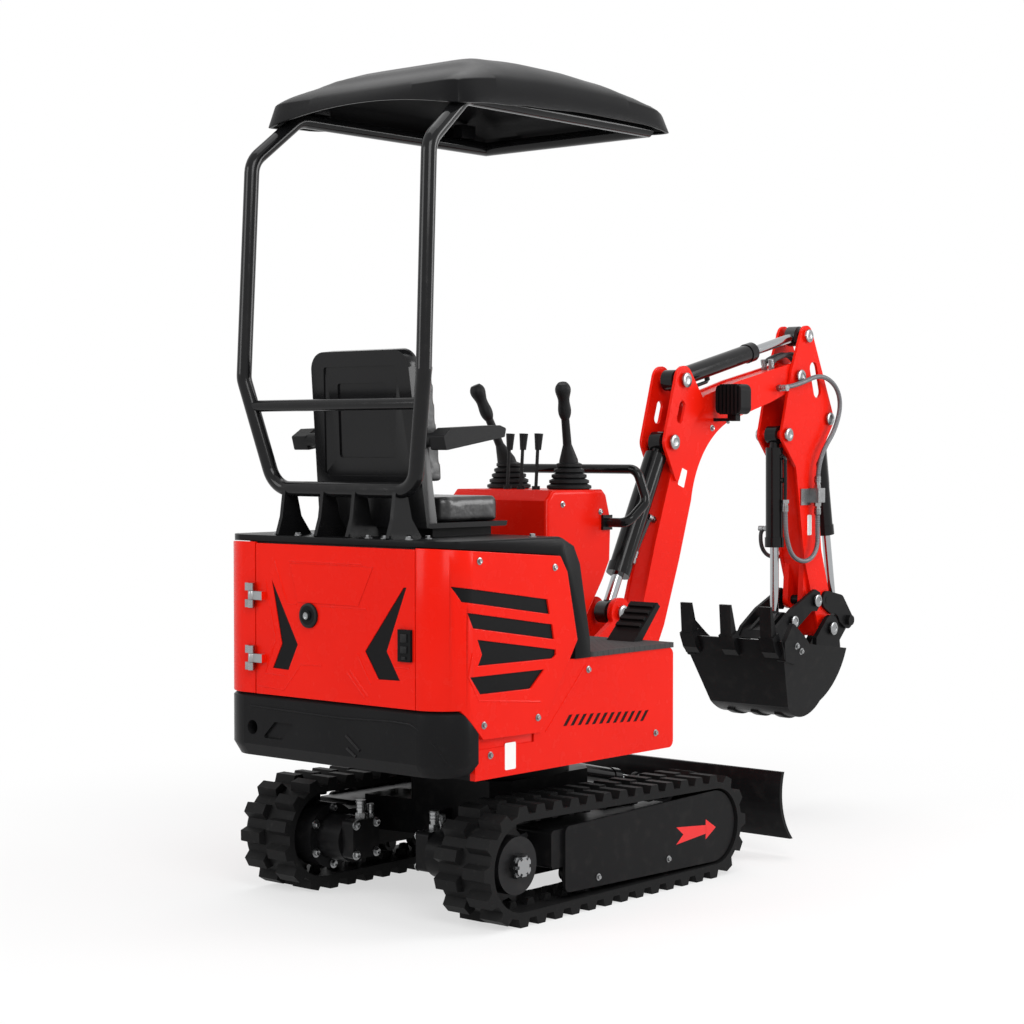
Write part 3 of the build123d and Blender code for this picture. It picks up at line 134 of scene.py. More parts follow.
def insideBox(finish, low, high):
    # 1 inside a box of the object's own coordinates, 0 outside
    parts = finish.node("ShaderNodeSeparateXYZ", {}, {0: finish.spot()}).socket.node.outputs
    inside = 1.0
    for axis in range(3):
        value = Wire(finish, parts[axis])
        if axis == 1:
            value = finish.node("ShaderNodeMath", {"operation": "ABSOLUTE"}, {0: value})
        above = value.maths("GREATER_THAN", value, low[axis])
        inside = above * value.maths("LESS_THAN", value, high[axis]) * inside
    return inside


dustTone = (0.22, 0.2, 0.18)
steelTone = (0.30, 0.305, 0.31)
eyeTone = (0.006, 0.006, 0.0065)


def paint(name, settings):
    # sprayed enamel: a faint orange peel, cloudy gloss and a little dust
    finish = Finish(bpy.data.materials.new(name))
    clouds = finish.noise(settings["clouds"], 4.0)
    peel = finish.noise(settings["peel"], 2.0)
    dust = finish.ramp(finish.noise(26.0, 6.0), 0.52, 0.78)
    tone = finish.mix(clouds, settings["colour"], settings["shade"])
    tone = finish.mix(dust * settings["dust"], tone, dustTone)
    rough = settings["rough"] + clouds * settings["spread"] + dust * 0.08
    if "bright" in settings:
        steel = insideBox(finish, *settings["bright"])
        finish.wear(metallic=steel)
        tone, rough = finish.mix(steel, tone, steelTone), rough + steel * 0.12
    return finish.wear(colour=tone, roughness=rough, coat=settings["coat"], coatRoughness=0.06,
                       specular=settings["specular"], normal=finish.bump(peel, settings["peelDepth"], 0.0004))


def grained(name, settings):
    # moulded plastic or rubber with a pebbled skin
    finish = Finish(bpy.data.materials.new(name))
    pebble = finish.node("ShaderNodeTexVoronoi", {}, {"Vector": finish.spot(), "Scale": settings["pebble"]})
    clouds = finish.noise(settings["clouds"], 5.0)
    scuffs = finish.ramp(finish.noise(60.0, 8.0), 0.6, 0.8)
    tone = finish.mix(clouds, settings["colour"], settings["shade"])
    return finish.wear(colour=finish.mix(scuffs * settings["scuff"], tone, settings["scuffColour"]),
                       roughness=settings["rough"] + clouds * settings["spread"], specular=settings["specular"],
                       normal=finish.bump(pebble, settings["depth"], 0.0006))


def bareMetal(name, settings):
    # plated or polished steel with fine turning marks
    finish = Finish(bpy.data.materials.new(name))
    grain = finish.noise(settings["grain"], 3.0)
    stain = finish.ramp(finish.noise(45.0, 5.0), 0.45, 0.75)
    tone = finish.mix(stain * settings["stain"], settings["colour"], settings["shade"])
    rough = settings["rough"] + grain * settings["spread"] + stain * 0.05
    metal = 1.0
    if "painted" in settings:
        eye = insideBox(finish, *settings["painted"])
        tone, rough, metal = finish.mix(eye, tone, eyeTone), rough + eye * 0.22, 1 - eye
    return finish.wear(colour=tone, metallic=metal, roughness=rough,
                       normal=finish.bump(grain, settings["depth"], 0.0003))


def vinyl(name, settings):
    # upholstery vinyl: leather cells, creases of a taut cover, a soft shine
    finish = Finish(bpy.data.materials.new(name))
    cells = finish.node("ShaderNodeTexVoronoi", {"feature": "DISTANCE_TO_EDGE"},
                        {"Vector": finish.spot(), "Scale": settings["cells"]})
    crease = finish.noise(settings["crease"], 3.0)
    clouds = finish.noise(9.0, 4.0)
    skin = finish.bump(cells, 0.25, 0.0006)
    folds = finish.node("ShaderNodeBump", {}, {"Strength": settings["foldDepth"], "Distance": 0.012,
                                               "Height": crease, "Normal": skin})
    return finish.wear(colour=finish.mix(clouds, settings["colour"], settings["shade"]),
                       roughness=settings["rough"] + clouds * 0.12, coat=settings["coat"], coatRoughness=0.12,
                       normal=folds)


def braided(name, settings):
    # hose cover: two sets of strands that cross, laid along the hose's own map
    finish = Finish(bpy.data.materials.new(name))
    across = finish.node("ShaderNodeSeparateXYZ", {}, {0: finish.node("ShaderNodeTexCoord", output="UV")})
    along = Wire(finish, across.socket.node.outputs[0])
    around = Wire(finish, across.socket.node.outputs[1])
    run = along * (settings["length"] / settings["pitch"] * 2 * math.pi)
    turn = around * (2 * math.pi * settings["strands"])
    left = finish.node("ShaderNodeMath", {"operation": "SINE"}, {0: run + turn})
    right = finish.node("ShaderNodeMath", {"operation": "SINE"}, {0: run - turn})
    weave = (left * right) * 0.5 + 0.5
    return finish.wear(colour=finish.mix(weave, settings["shade"], settings["colour"]),
                       metallic=settings["metallic"], roughness=settings["rough"] - weave * 0.1,
                       normal=finish.bump(weave, 0.5, 0.0012))


def studs(name, settings):
    # rubber mat with a raised grid
    finish = Finish(bpy.data.materials.new(name))
    place = finish.node("ShaderNodeSeparateXYZ", {}, {0: finish.spot()}).socket.node.outputs
    waves = 2 * math.pi / settings["pitch"]
    rows = [finish.node("ShaderNodeMath", {"operation": "SINE"}, {0: Wire(finish, place[axis]) * waves})
            for axis in (0, 1)]
    buttons = finish.ramp(rows[0] * rows[1], 0.35, 0.6)
    clouds = finish.noise(14.0, 5.0)
    return finish.wear(colour=finish.mix(clouds, settings["colour"], settings["shade"]),
                       roughness=0.62 + clouds * 0.2, normal=finish.bump(buttons, 0.8, 0.003))


redSettings = {"colour": (0.80, 0.012, 0.003), "shade": (0.68, 0.007, 0.002), "clouds": 3.0, "peel": 420.0,
               "peelDepth": 0.05, "rough": 0.2, "spread": 0.1, "coat": 0.03, "specular": 0.09, "dust": 0.01}
redPaint = paint("redEnamel", redSettings)
doorPaint = paint("redDoor", dict(redSettings, bright=((-0.73, 0.24, 0.6), (-0.7056, 0.31, 0.95))))
wheelPaint = paint("blackWheels", {
    "colour": (0.006, 0.006, 0.0065), "shade": (0.01, 0.01, 0.011), "clouds": 9.0, "peel": 300.0, "peelDepth": 0.1,
    "rough": 0.3, "spread": 0.16, "coat": 0.0, "specular": 0.16, "dust": 0.04,
    "bright": ((-0.459, 0.4502, 0.135), (-0.407, 0.47, 0.187))})
blackPaint = paint("blackEnamel", {
    "colour": (0.0055, 0.0055, 0.006), "shade": (0.009, 0.009, 0.0095), "clouds": 5.0, "peel": 500.0,
    "peelDepth": 0.08, "rough": 0.26, "spread": 0.12, "coat": 0.0, "specular": 0.065, "dust": 0.03})
glossBlack = paint("glossBlack", {
    "colour": (0.005, 0.005, 0.0055), "shade": (0.008, 0.008, 0.0085), "clouds": 6.0, "peel": 600.0,
    "peelDepth": 0.03, "rough": 0.08, "spread": 0.08, "coat": 0.0, "specular": 0.2, "dust": 0.01})
castBlack = grained("castBlack", {
    "colour": (0.006, 0.006, 0.0065), "shade": (0.01, 0.01, 0.0105), "clouds": 6.0, "pebble": 520.0, "rough": 0.26,
    "spread": 0.16, "specular": 0.065, "scuff": 0.1, "scuffColour": (0.05, 0.05, 0.05), "depth": 0.18})
trackRubber = grained("trackRubber", {
    "colour": (0.007, 0.007, 0.0075), "shade": (0.013, 0.013, 0.013), "clouds": 9.0, "pebble": 300.0, "rough": 0.42,
    "spread": 0.22, "specular": 0.065, "scuff": 0.25, "scuffColour": (0.05, 0.048, 0.045), "depth": 0.3})
blackPlastic = grained("blackPlastic", {
    "colour": (0.005, 0.005, 0.0055), "shade": (0.0085, 0.0085, 0.009), "clouds": 4.0, "pebble": 900.0, "rough": 0.26,
    "spread": 0.12, "specular": 0.065, "scuff": 0.05, "scuffColour": (0.06, 0.06, 0.06), "depth": 0.12})
shellBlack = grained("shellBlack", {
    "colour": (0.005, 0.005, 0.0055), "shade": (0.008, 0.008, 0.0085), "clouds": 4.0, "pebble": 700.0, "rough": 0.16,
    "spread": 0.1, "specular": 0.2, "scuff": 0.04, "scuffColour": (0.05, 0.05, 0.05), "depth": 0.05})
softPlastic = grained("softGrip", {
    "colour": (0.007, 0.007, 0.0075), "shade": (0.011, 0.011, 0.0115), "clouds": 7.0, "pebble": 1400.0, "rough": 0.4,
    "spread": 0.14, "specular": 0.14, "scuff": 0.08, "scuffColour": (0.05, 0.05, 0.05), "depth": 0.3})
# each rod's eye: its place in the side view and half its height in mm
rodEyes = {"boom_rod": (505, 759, 38), "arm_rod": (1558, 1652, 38), "bucket_rod": (1815, 657, 36),
           "thumb_rod": (1440, 675, 34), "blade_rod": (700, 205, 32)}
chrome = {"colour": (0.40, 0.41, 0.42), "shade": (0.3, 0.31, 0.32), "grain": 900.0, "rough": 0.07, "spread": 0.06,
          "stain": 0.2, "depth": 0.02}
rodFinish = {}
for name, (x, z, half) in rodEyes.items():
    low, high = (x - half, -1, z - half), (x + half, 100, z + half)
    eyeBox = tuple(tuple(value / 1000 for value in corner) for corner in (low, high))
    rodFinish[name] = bareMetal(name + "Chrome", dict(chrome, painted=eyeBox))
zincSteel = bareMetal("zincSteel", {"colour": steelTone, "shade": (0.13, 0.13, 0.125), "grain": 600.0, "rough": 0.2,
                                    "spread": 0.16, "stain": 0.5, "depth": 0.08})
seatVinyl = vinyl("seatVinyl", {"colour": (0.006, 0.006, 0.0065), "shade": (0.011, 0.011, 0.0115), "cells": 420.0,
                                "crease": 13.0, "foldDepth": 0.5, "rough": 0.3, "coat": 0.16})
matRubber = studs("matRubber", {"colour": (0.014, 0.014, 0.015), "shade": (0.025, 0.025, 0.025), "pitch": 0.024})
arrowRed = paint("arrowRed", {
    "colour": (0.82, 0.02, 0.02), "shade": (0.7, 0.012, 0.012), "clouds": 12.0, "peel": 600.0, "peelDepth": 0.03,
    "rough": 0.35, "spread": 0.1, "coat": 0.0, "specular": 0.3, "dust": 0.02})

finishOf = {
    redPaint: "side_panel_right side_panel_left skirt_right skirt_left console boom_base boom arm",
    doorPaint: "rear_door",
    blackPaint: "lower_frame track_frames drive_motors dozer_blade turret_frame floor bucket rocker bucket_link thumb "
                "seat_base bucket_teeth",
    glossBlack: "boom_barrel arm_barrel bucket_barrel thumb_barrel blade_barrel canopy_frame grab_rail",
    castBlack: "counterweight engine slew_ring",
    wheelPaint: "track_wheels",
    trackRubber: "track_left track_right pedal",
    matRubber: "floor_mat",
    zincSteel: "door_hinges arm_valve",
    blackPlastic: "door_lock work_light panel_vents",
    shellBlack: "seat_shell",
    softPlastic: "joysticks levers armrests",
}
finishOf.update({material: name for name, material in rodFinish.items()})
for material, names in finishOf.items():
    for name in names.split():
        nodes[name].data.materials.clear()
        nodes[name].data.materials.append(material)

# rounded edges of the solids, in mm
edgeRounds = {"side_panel_right": 2.5, "side_panel_left": 2.5, "skirt_right": 2.5, "skirt_left": 2.5, "rear_door": 2.0,
              "console": 4.0, "boom": 1.5, "arm": 1.5, "boom_base": 1.5, "counterweight": 5.0, "bucket": 1.5,
              "dozer_blade": 1.5, "seat_shell": 2.5}
roundAngle = math.radians(38)
for name, width in edgeRounds.items():
    weld = nodes[name].modifiers.new("weld", "WELD")
    weld.merge_threshold = 0.00002
    rounding = nodes[name].modifiers.new("round", "BEVEL")
    rounding.width, rounding.segments = width / 1000, 2
    rounding.limit_method, rounding.angle_limit = "ANGLE", roundAngle
    rounding.harden_normals = True
print("finishes set")

# Making and placing of pieces


def clearSelection():
    if bpy.context.object and bpy.context.object.mode != "OBJECT":
        bpy.ops.object.mode_set(mode="OBJECT")
    bpy.ops.object.select_all(action="DESELECT")


def pick(*pieces):
    clearSelection()
    for piece in pieces:
        piece.select_set(True)
    bpy.context.view_layer.objects.active = pieces[0]


def chooseFaces(piece, wanted):
    # ends in edit mode with only the wanted faces selected
    bpy.ops.object.mode_set(mode="EDIT")
    bpy.ops.mesh.select_mode(type="FACE")
    bpy.ops.mesh.select_all(action="DESELECT")
    bpy.ops.object.mode_set(mode="OBJECT")
    for face in piece.data.polygons:
        face.select = wanted(face)
    bpy.ops.object.mode_set(mode="EDIT")


def joinUp(name, pieces):
    pick(*pieces)
    if len(pieces) > 1:
        bpy.ops.object.join()
    whole = bpy.context.object
    whole.name = name
    return whole


def settle(piece, name, body, material):
    # transforms into the mesh, finish on, and the piece rides on its body
    piece.name = name
    pick(piece)
    applyTransforms()
    piece.data.materials.clear()
    piece.data.materials.append(material)
    bpy.ops.object.shade_smooth_by_angle(angle=math.radians(32))
    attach(piece, body)
    return piece


def copyTo(master, place, direction, size=1.0, spin=0.0):
    # a copy of the master with its own mesh, its base at place and its axis along direction
    turn = Vector((0, 0, 1)).rotation_difference(Vector(direction).normalized()).to_matrix().to_4x4()
    mesh = master.data.copy()
    mesh.transform(Matrix.Translation(place) @ turn @ Matrix.Rotation(spin, 4, "Z") @ Matrix.Scale(size, 4))
    piece = bpy.data.objects.new(master.name, mesh)
    bpy.context.collection.objects.link(piece)
    return piece


def drop(*pieces):
    for piece in pieces:
        bpy.data.objects.remove(piece)


def mm(*values):
    return tuple(value / 1000 for value in values)


def applyTransforms():
    bpy.ops.object.transform_apply(location=True, rotation=True, scale=True)


def applyModifier(piece, kind, **values):
    # adds a modifier with these values to the active piece and applies it
    modifier = piece.modifiers.new(kind.lower(), kind)
    for key, value in values.items():
        setattr(modifier, key, value)
    bpy.ops.object.modifier_apply(modifier=modifier.name)


def insetMove(thickness, x=0, y=0, z=0):
    # insets the chosen faces, then shifts them
    bpy.ops.mesh.inset(thickness=thickness)
    bpy.ops.transform.translate(value=(x, y, z))


def chooseVertices(piece, wanted):
    # ends in edit mode with only the wanted vertices selected
    bpy.ops.mesh.select_all(action="DESELECT")
    bpy.ops.mesh.select_mode(type="VERT")
    bpy.ops.object.mode_set(mode="OBJECT")
    for vertex in piece.data.vertices:
        vertex.select = wanted(vertex.co)
    bpy.ops.object.mode_set(mode="EDIT")


def turnOutward():
    bpy.ops.object.mode_set(mode="EDIT")
    bpy.ops.mesh.select_all(action="SELECT")
    bpy.ops.mesh.normals_make_consistent(inside=False)
    bpy.ops.object.mode_set(mode="OBJECT")


def makeBox(middle, size, edge):
    # a box with bevelled edges, all in metres
    clearSelection()
    bpy.ops.mesh.primitive_cube_add(size=1, location=middle, scale=size)
    applyTransforms()
    bpy.ops.object.mode_set(mode="EDIT")
    bpy.ops.mesh.select_all(action="SELECT")
    bpy.ops.mesh.bevel(offset=edge, segments=2)
    bpy.ops.object.mode_set(mode="OBJECT")
    return bpy.context.object


# Bolts: a hexagon head on its washer
boltShape = {"head": 0.0075, "high": 0.006, "washer": 0.0115, "washerHigh": 0.0018, "crown": 0.0012,
             "rim": 0.0012, "rimLift": 0.0004, "dish": 0.0028, "dishDeep": 0.0008}


def makeBolt(shape):
    clearSelection()
    bpy.ops.mesh.primitive_cylinder_add(vertices=24, radius=shape["washer"], depth=shape["washerHigh"],
                                        location=(0, 0, shape["washerHigh"] / 2))
    washer = bpy.context.object
    chooseFaces(washer, lambda face: face.normal.z > 0.9)
    insetMove(shape["rim"], z=shape["rimLift"])
    bpy.ops.object.mode_set(mode="OBJECT")
    bpy.ops.mesh.primitive_cylinder_add(vertices=6, radius=shape["head"], depth=shape["high"],
                                        location=(0, 0, shape["washerHigh"] + shape["high"] / 2))
    head = bpy.context.object
    chooseFaces(head, lambda face: face.normal.z > 0.9)
    insetMove(shape["crown"], z=shape["crown"])
    insetMove(shape["dish"], z=-shape["dishDeep"])
    bpy.ops.object.mode_set(mode="OBJECT")
    bolt = joinUp("boltMaster", [washer, head])
    applyTransforms()
    return bolt


# Pin heads: a turned disc with a step and a dimple
pinShape = {"radius": 0.0235, "high": 0.006, "edge": 0.0016, "edgeLift": 0.7, "step": 0.32, "stepLift": 0.0005,
            "groove": 0.0012, "grooveDeep": 0.0018, "dimple": 0.3, "dimpleDeep": 0.001}


def makePinHead(shape):
    clearSelection()
    bpy.ops.mesh.primitive_cylinder_add(vertices=40, radius=shape["radius"], depth=shape["high"],
                                        location=(0, 0, shape["high"] / 2))
    disc = bpy.context.object
    chooseFaces(disc, lambda face: face.normal.z > 0.9)
    insetMove(shape["edge"], z=shape["edge"] * shape["edgeLift"])
    insetMove(shape["radius"] * shape["step"], z=shape["stepLift"])
    insetMove(shape["groove"], z=-shape["grooveDeep"])
    insetMove(shape["radius"] * shape["dimple"], z=-shape["dimpleDeep"])
    bpy.ops.object.mode_set(mode="OBJECT")
    disc.name = "pinMaster"
    applyTransforms()
    return disc


# Hose ends: a hexagon, a collar and a crimped sleeve over the hose
endShape = {"across": 0.0125, "nut": 0.012, "chamfer": 0.0018, "collar": 0.0095, "collarHigh": 0.008,
            "collarRise": 0.003, "sleeve": 0.0115, "sleeveHigh": 0.022, "rings": 3, "mouth": 0.0015,
            "crimp": ((0.55, 1.0), (0.15, 0.9), (0.15, 1.0), (0.15, 1.0 / 0.9))}


def makeHoseEnd(shape):
    clearSelection()
    bpy.ops.mesh.primitive_cylinder_add(vertices=6, radius=shape["across"], depth=shape["nut"],
                                        location=(0, 0, shape["nut"] / 2))
    nut = bpy.context.object
    chooseFaces(nut, lambda face: abs(face.normal.z) > 0.9)
    bpy.ops.mesh.inset(thickness=shape["chamfer"])
    bpy.ops.object.mode_set(mode="OBJECT")
    bpy.ops.mesh.primitive_cylinder_add(vertices=24, radius=shape["collar"], depth=shape["collarHigh"],
                                        location=(0, 0, shape["nut"] + shape["collarRise"]))
    collar = bpy.context.object
    chooseFaces(collar, lambda face: face.normal.z > 0.9)
    bpy.ops.mesh.extrude_region_move(TRANSFORM_OT_translate={"value": (0, 0, 0.0005)})
    bpy.ops.transform.resize(value=(shape["sleeve"] / shape["collar"],) * 2 + (1,))
    ringHigh = shape["sleeveHigh"] / shape["rings"]
    for ring in range(shape["rings"]):
        for rise, grow in shape["crimp"]:
            bpy.ops.mesh.extrude_region_move(TRANSFORM_OT_translate={"value": (0, 0, rise * ringHigh)})
            bpy.ops.transform.resize(value=(grow, grow, 1))
    bpy.ops.mesh.inset(thickness=shape["mouth"])
    bpy.ops.object.mode_set(mode="OBJECT")
    end = joinUp("hoseEndMaster", [nut, collar])
    applyTransforms()
    return end


boltMaster, pinMaster, endMaster = makeBolt(boltShape), makePinHead(pinShape), makeHoseEnd(endShape)
print("masters made")


def mirrored(spots):
    return spots + [((x, -y, z), (dx, -dy, dz)) for (x, y, z), (dx, dy, dz) in spots]


sideways, upward = (0, -1, 0), (0, 0, 1)
motorMiddle, motorRing = (-433, 161), 80
boltRows = {
    "panelBolts": {"body": "turret", "size": 0.85, "spots": mirrored(
        [((x, -433, z), sideways) for x, z in ((-576, 975), (-269, 946), (-340, 546), (-559, 546))]
        + [((x, -419, z), sideways) for x, z in ((-106, 656), (203, 449), (-518, 462))])},
    "hoodBolts": {"body": "turret", "size": 1.0, "spots": mirrored(
        [((x, y, 1028), upward) for x, y in ((-652, -252), (-652, -165), (-652, -105), (-575, -250), (-300, -380))])},
    "coverBolts": {"body": "undercarriage", "size": 0.84, "spots": mirrored(
        [((x, -457, z), sideways) for x, z in ((-108, 84), (216, 87))])},
    "motorBolts": {"body": "undercarriage", "size": 1.2, "spots": mirrored(
        [((motorMiddle[0] + motorRing * math.cos(turn), -252, motorMiddle[1] + motorRing * math.sin(turn)), (0, 1, 0))
         for turn in (math.radians(30 + 60 * k) for k in range(6))]
        + [((motorMiddle[0] + 40 * sx, -120, 168 + 42 * sz), (0, 1, 0)) for sx in (-1, 1) for sz in (-1, 1)])},
    "lampBolts": {"body": "boom", "size": 0.9, "spots": [((1012, -40, 1332), sideways), ((1102, -40, 1356), sideways)]},
    "cutterBolts": {"body": "bucket", "size": 1.0, "spots": mirrored(
        [((1262, -207.5, 612), (0, -1, -0.2)), ((1296, -203, 592), (0, -1, -0.2))])},
    "consoleBolts": {"body": "turret", "size": 0.8, "spots": mirrored(
        [((60, -190, 1105), sideways), ((236, -190, 1080), sideways)])},
}
for name, row in boltRows.items():
    heads = [copyTo(boltMaster, mm(*spot), direction, row["size"], index * 0.7)
             for index, (spot, direction) in enumerate(row["spots"])]
    settle(joinUp(name, heads), name, row["body"], zincSteel)
print("bolts placed")

# pins: place in the side view, distance from the middle and size
pinRows = {
    "basePins": {"body": "turret", "spots": [(640, 600, 65, 1.0), (505, 759, 65, 1.0)]},
    "boomPins": {"body": "boom", "spots": [(783, 1286, 56, 1.0), (847, 1484, 56, 1.0)]},
    "armPins": {"body": "arm", "spots": [(1510, 1510, 57, 1.05), (1558, 1652, 57, 0.95), (1695, 1368, 57, 0.95),
                                         (1436, 1312, 57, 0.95)]},
    "bucketPins": {"body": "bucket", "spots": [(1677, 637, 86, 0.95), (1700, 544, 86, 0.95)]},
    "thumbPins": {"body": "thumb", "spots": [(1584, 739, 81, 0.9), (1440, 675, 81, 0.85)]},
    "bladePins": {"body": "undercarriage", "spots": [(330, 190, 180, 0.9)]},
}
for name, row in pinRows.items():
    heads = [copyTo(pinMaster, mm(x, y * side, z), (0, side, 0), size)
             for x, z, y, size in row["spots"] for side in (1, -1)]
    settle(joinUp(name, heads), name, row["body"], zincSteel)
print("pin heads placed")

# Hoses
overElbow = [(1395.6, 1533.2), (1390.6, 1557), (1450, 1580), (1540, 1594), (1606, 1540), (1616, 1430), (1571.5, 1343),
             (1562.1, 1287.7)]
hoseRoutes = {
    "elbowHose": {
        "radius": 8, "blend": ("boom", "arm"), "across": ((1404, 0, 1488), (1593, 0, 1140)), "node": "elbow_hoses",
        "grey": True, "points": [
            (1396, -40, 1470), (1396, -64, 1470), (1478, -75, 1485), (1603, -78, 1522), (1700, -80, 1486),
            (1733, -80, 1417), (1694, -80, 1329), (1622, -78, 1260), (1593, -74, 1188), (1593, -74, 1128)]},
    **{name: {
        "radius": 8, "blend": ("boom", "arm"), "across": ((1400, 0, 1535), (1565, 0, 1300)), "node": "elbow_hoses",
        "grey": False, "points": [(x, y, z) for x, z in overElbow]}
       for name, y in (("elbowHoseRight", -15), ("elbowHoseLeft", 15))},
    "thumbHose": {
        "radius": 8, "blend": ("arm", "thumb_barrel"), "across": ((1580, 0, 900), (1452, 0, 900)),
        "node": "hose_arm_thumb", "grey": True, "points": [
            (1593, -74, 1078), (1593, -74, 1008), (1590, -78, 915), (1530, -74, 872), (1462, -58, 890),
            (1441, -46, 960), (1437.7, -44, 1034), (1437.5, -44, 1076)]},
    "thumbLowHose": {
        "radius": 7, "blend": ("arm", "thumb_barrel"), "across": ((1580, 0, 900), (1452, 0, 900)),
        "node": "hose_thumb_low", "grey": False, "points": [
            (1438, 30.2, 990), (1438, 56, 990), (1438, 57, 936), (1466, 58, 902), (1520, 62, 886), (1582, 64, 888),
            (1590, 64, 901), (1590, 64, 931)]},
    "boomRamHose": {
        "radius": 8, "blend": ("boom_barrel", "boom"), "across": ((652, 0, 932), (728, 0, 1040)),
        "node": "hose_boom_ram", "grey": False, "points": [
            (641.6, 0, 912.9), (661.2, 0, 950), (696, -6, 1012), (714.5, -10, 1047), (737.6, -12, 1038.4)]},
}
greyBraid = {"colour": (0.20, 0.20, 0.21), "shade": (0.05, 0.05, 0.055), "metallic": 0.5, "rough": 0.5}
blackCover = {"colour": (0.022, 0.022, 0.023), "shade": (0.008, 0.008, 0.009), "metallic": 0.0, "rough": 0.6}
braid = {"pitch": 0.011, "strands": 5}


def layHose(name, route):
    curve = bpy.data.curves.new(name, "CURVE")
    curve.dimensions = "3D"
    curve.resolution_u = 10
    spline = curve.splines.new("NURBS")
    spline.points.add(len(route["points"]) - 1)
    for point, spot in zip(spline.points, route["points"]):
        point.co = (*mm(*spot), 1)
    spline.order_u = 3
    spline.use_endpoint_u = True
    hose = bpy.data.objects.new(name, curve)
    bpy.context.collection.objects.link(hose)
    bpy.context.view_layer.update()
    line = bpy.data.meshes.new_from_object(hose)
    path = [vertex.co.copy() for vertex in line.vertices]
    length = sum((second - first).length for first, second in zip(path, path[1:]))
    curve.bevel_depth = route["radius"] / 1000
    curve.bevel_resolution = 6
    tone = greyBraid if route["grey"] else blackCover
    material = braided(name + "Cover", dict(tone, length=length, **braid))
    curve.materials.append(material)
    pick(hose)
    bpy.ops.object.convert(target="MESH")
    hose = bpy.context.object
    start, end = route["across"]
    mm(*start)
    mm(*end)
    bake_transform(hose)
    route["radius"] / 500
    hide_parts(route["node"])
    print(name, round(length * 1000), "mm")


for name, route in hoseRoutes.items():
    layHose(name, route)

hoseEnds = {
    "boomFittings": {"body": "boom", "spots": [
        ((1396, -40, 1470), (0, -1, 0), 0.95), ((1395.6, -15, 1533.2), (-0.2, 0, 0.98), 0.85),
        ((1395.6, 15, 1533.2), (-0.2, 0, 0.98), 0.85), ((737.6, -12, 1038.4), (-0.935, 0, 0.354), 0.85)]},
    "armFittings": {"body": "arm", "spots": [
        ((1593, -74, 1128), (0, 0, 1), 1.0), ((1593, -74, 1078), (0, 0, -1), 1.0),
        ((1590, 64, 931), (0, 0, -1), 0.9)]},
    "thumbFittings": {"body": "thumb_barrel", "spots": [
        ((1437.5, -44, 1090), (0, 0, -1), 1.0), ((1438, 29, 990), (0, 1, 0), 0.8)]},
    "boomRamFittings": {"body": "boom_barrel", "spots": [((637, 0, 904), (0.467, 0, 0.884), 1.0)]},
    "motorFittings": {"body": "undercarriage", "spots": [
        ((x, y * side, 223), upward, size)
        for x, y, size in ((-433, 142, 1.25), (-398, 138, 0.9)) for side in (1, -1)]},
}
for name, row in hoseEnds.items():
    ends = [copyTo(endMaster, mm(*spot), direction, size) for spot, direction, size in row["spots"]]
    settle(joinUp(name, ends), name, row["body"], zincSteel)
print("hoses laid")

# Seat pads: the solid's own form, drawn in, blown up as cloth, then sewn
padSettings = {"voxel": 0.007, "pressure": 4.0, "cap": 0.012, "steps": 20, "seamHalf": 0.014, "clear": 0.0006}
padShapes = {
    "seatPad": {"node": "seat_cushion", "draw": 0.955, "seams": (-0.1, 0.1), "deep": 0.0045, **padSettings},
    "backPad": {"node": "seat_back", "draw": 0.95, "seams": (-0.095, 0.095), "deep": 0.004, **padSettings},
}


def swellPad(name, shape):
    mesh = nodes[shape["node"]].data.copy()
    pad = bpy.data.objects.new(name, mesh)
    bpy.context.collection.objects.link(pad)
    low, high = (Vector(corner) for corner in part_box(shape["node"]))
    middle = (low + high) / 2
    for vertex in mesh.vertices:
        vertex.co = middle + (vertex.co - middle) * shape["draw"]
    pick(pad)
    bpy.ops.object.mode_set(mode="EDIT")
    bpy.ops.mesh.select_all(action="SELECT")
    bpy.ops.mesh.remove_doubles(threshold=0.0001)
    bpy.ops.object.mode_set(mode="OBJECT")
    applyModifier(pad, "REMESH", mode="VOXEL", voxel_size=shape["voxel"])
    rest = [vertex.co.copy() for vertex in pad.data.vertices]
    cloth = pad.modifiers.new("cloth", "CLOTH")
    cloth.settings.use_pressure = True
    cloth.settings.uniform_pressure_force = shape["pressure"]
    cloth.settings.effector_weights.gravity = 0
    for step in range(1, shape["steps"] + 1):
        bpy.context.scene.frame_set(step)
    bpy.ops.object.modifier_apply(modifier=cloth.name)
    bpy.context.scene.frame_set(1)
    for vertex, start in zip(pad.data.vertices, rest):
        move = vertex.co - start
        if move.length > shape["cap"]:
            vertex.co = start + move.normalized() * shape["cap"]
        for seam in shape["seams"]:
            near = abs(vertex.co.y - seam) / shape["seamHalf"]
            if near < 1:
                inward = (middle - vertex.co).normalized()
                vertex.co += inward * shape["deep"] * (1 - near * near) ** 2
        for axis in range(3):
            least, most = low[axis] + shape["clear"], high[axis] - shape["clear"]
            vertex.co[axis] = min(max(vertex.co[axis], least), most)
    applyModifier(pad, "SMOOTH", iterations=3)
    pad.data.materials.clear()
    pad.data.materials.append(seatVinyl)
    bpy.ops.object.shade_smooth()
    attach(pad, "turret")
    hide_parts(shape["node"])
    return pad


for name, shape in padShapes.items():
    swellPad(name, shape)
print("seat pads made")

# Direction arrows on the track covers
arrowShape = {"long": 0.146, "shaft": 0.0125, "head": 0.034, "headShift": 0.016, "notch": 0.034, "flare": 2.0,
              "thick": 0.0006, "middle": (0.327, 0.148), "side": 0.4571}


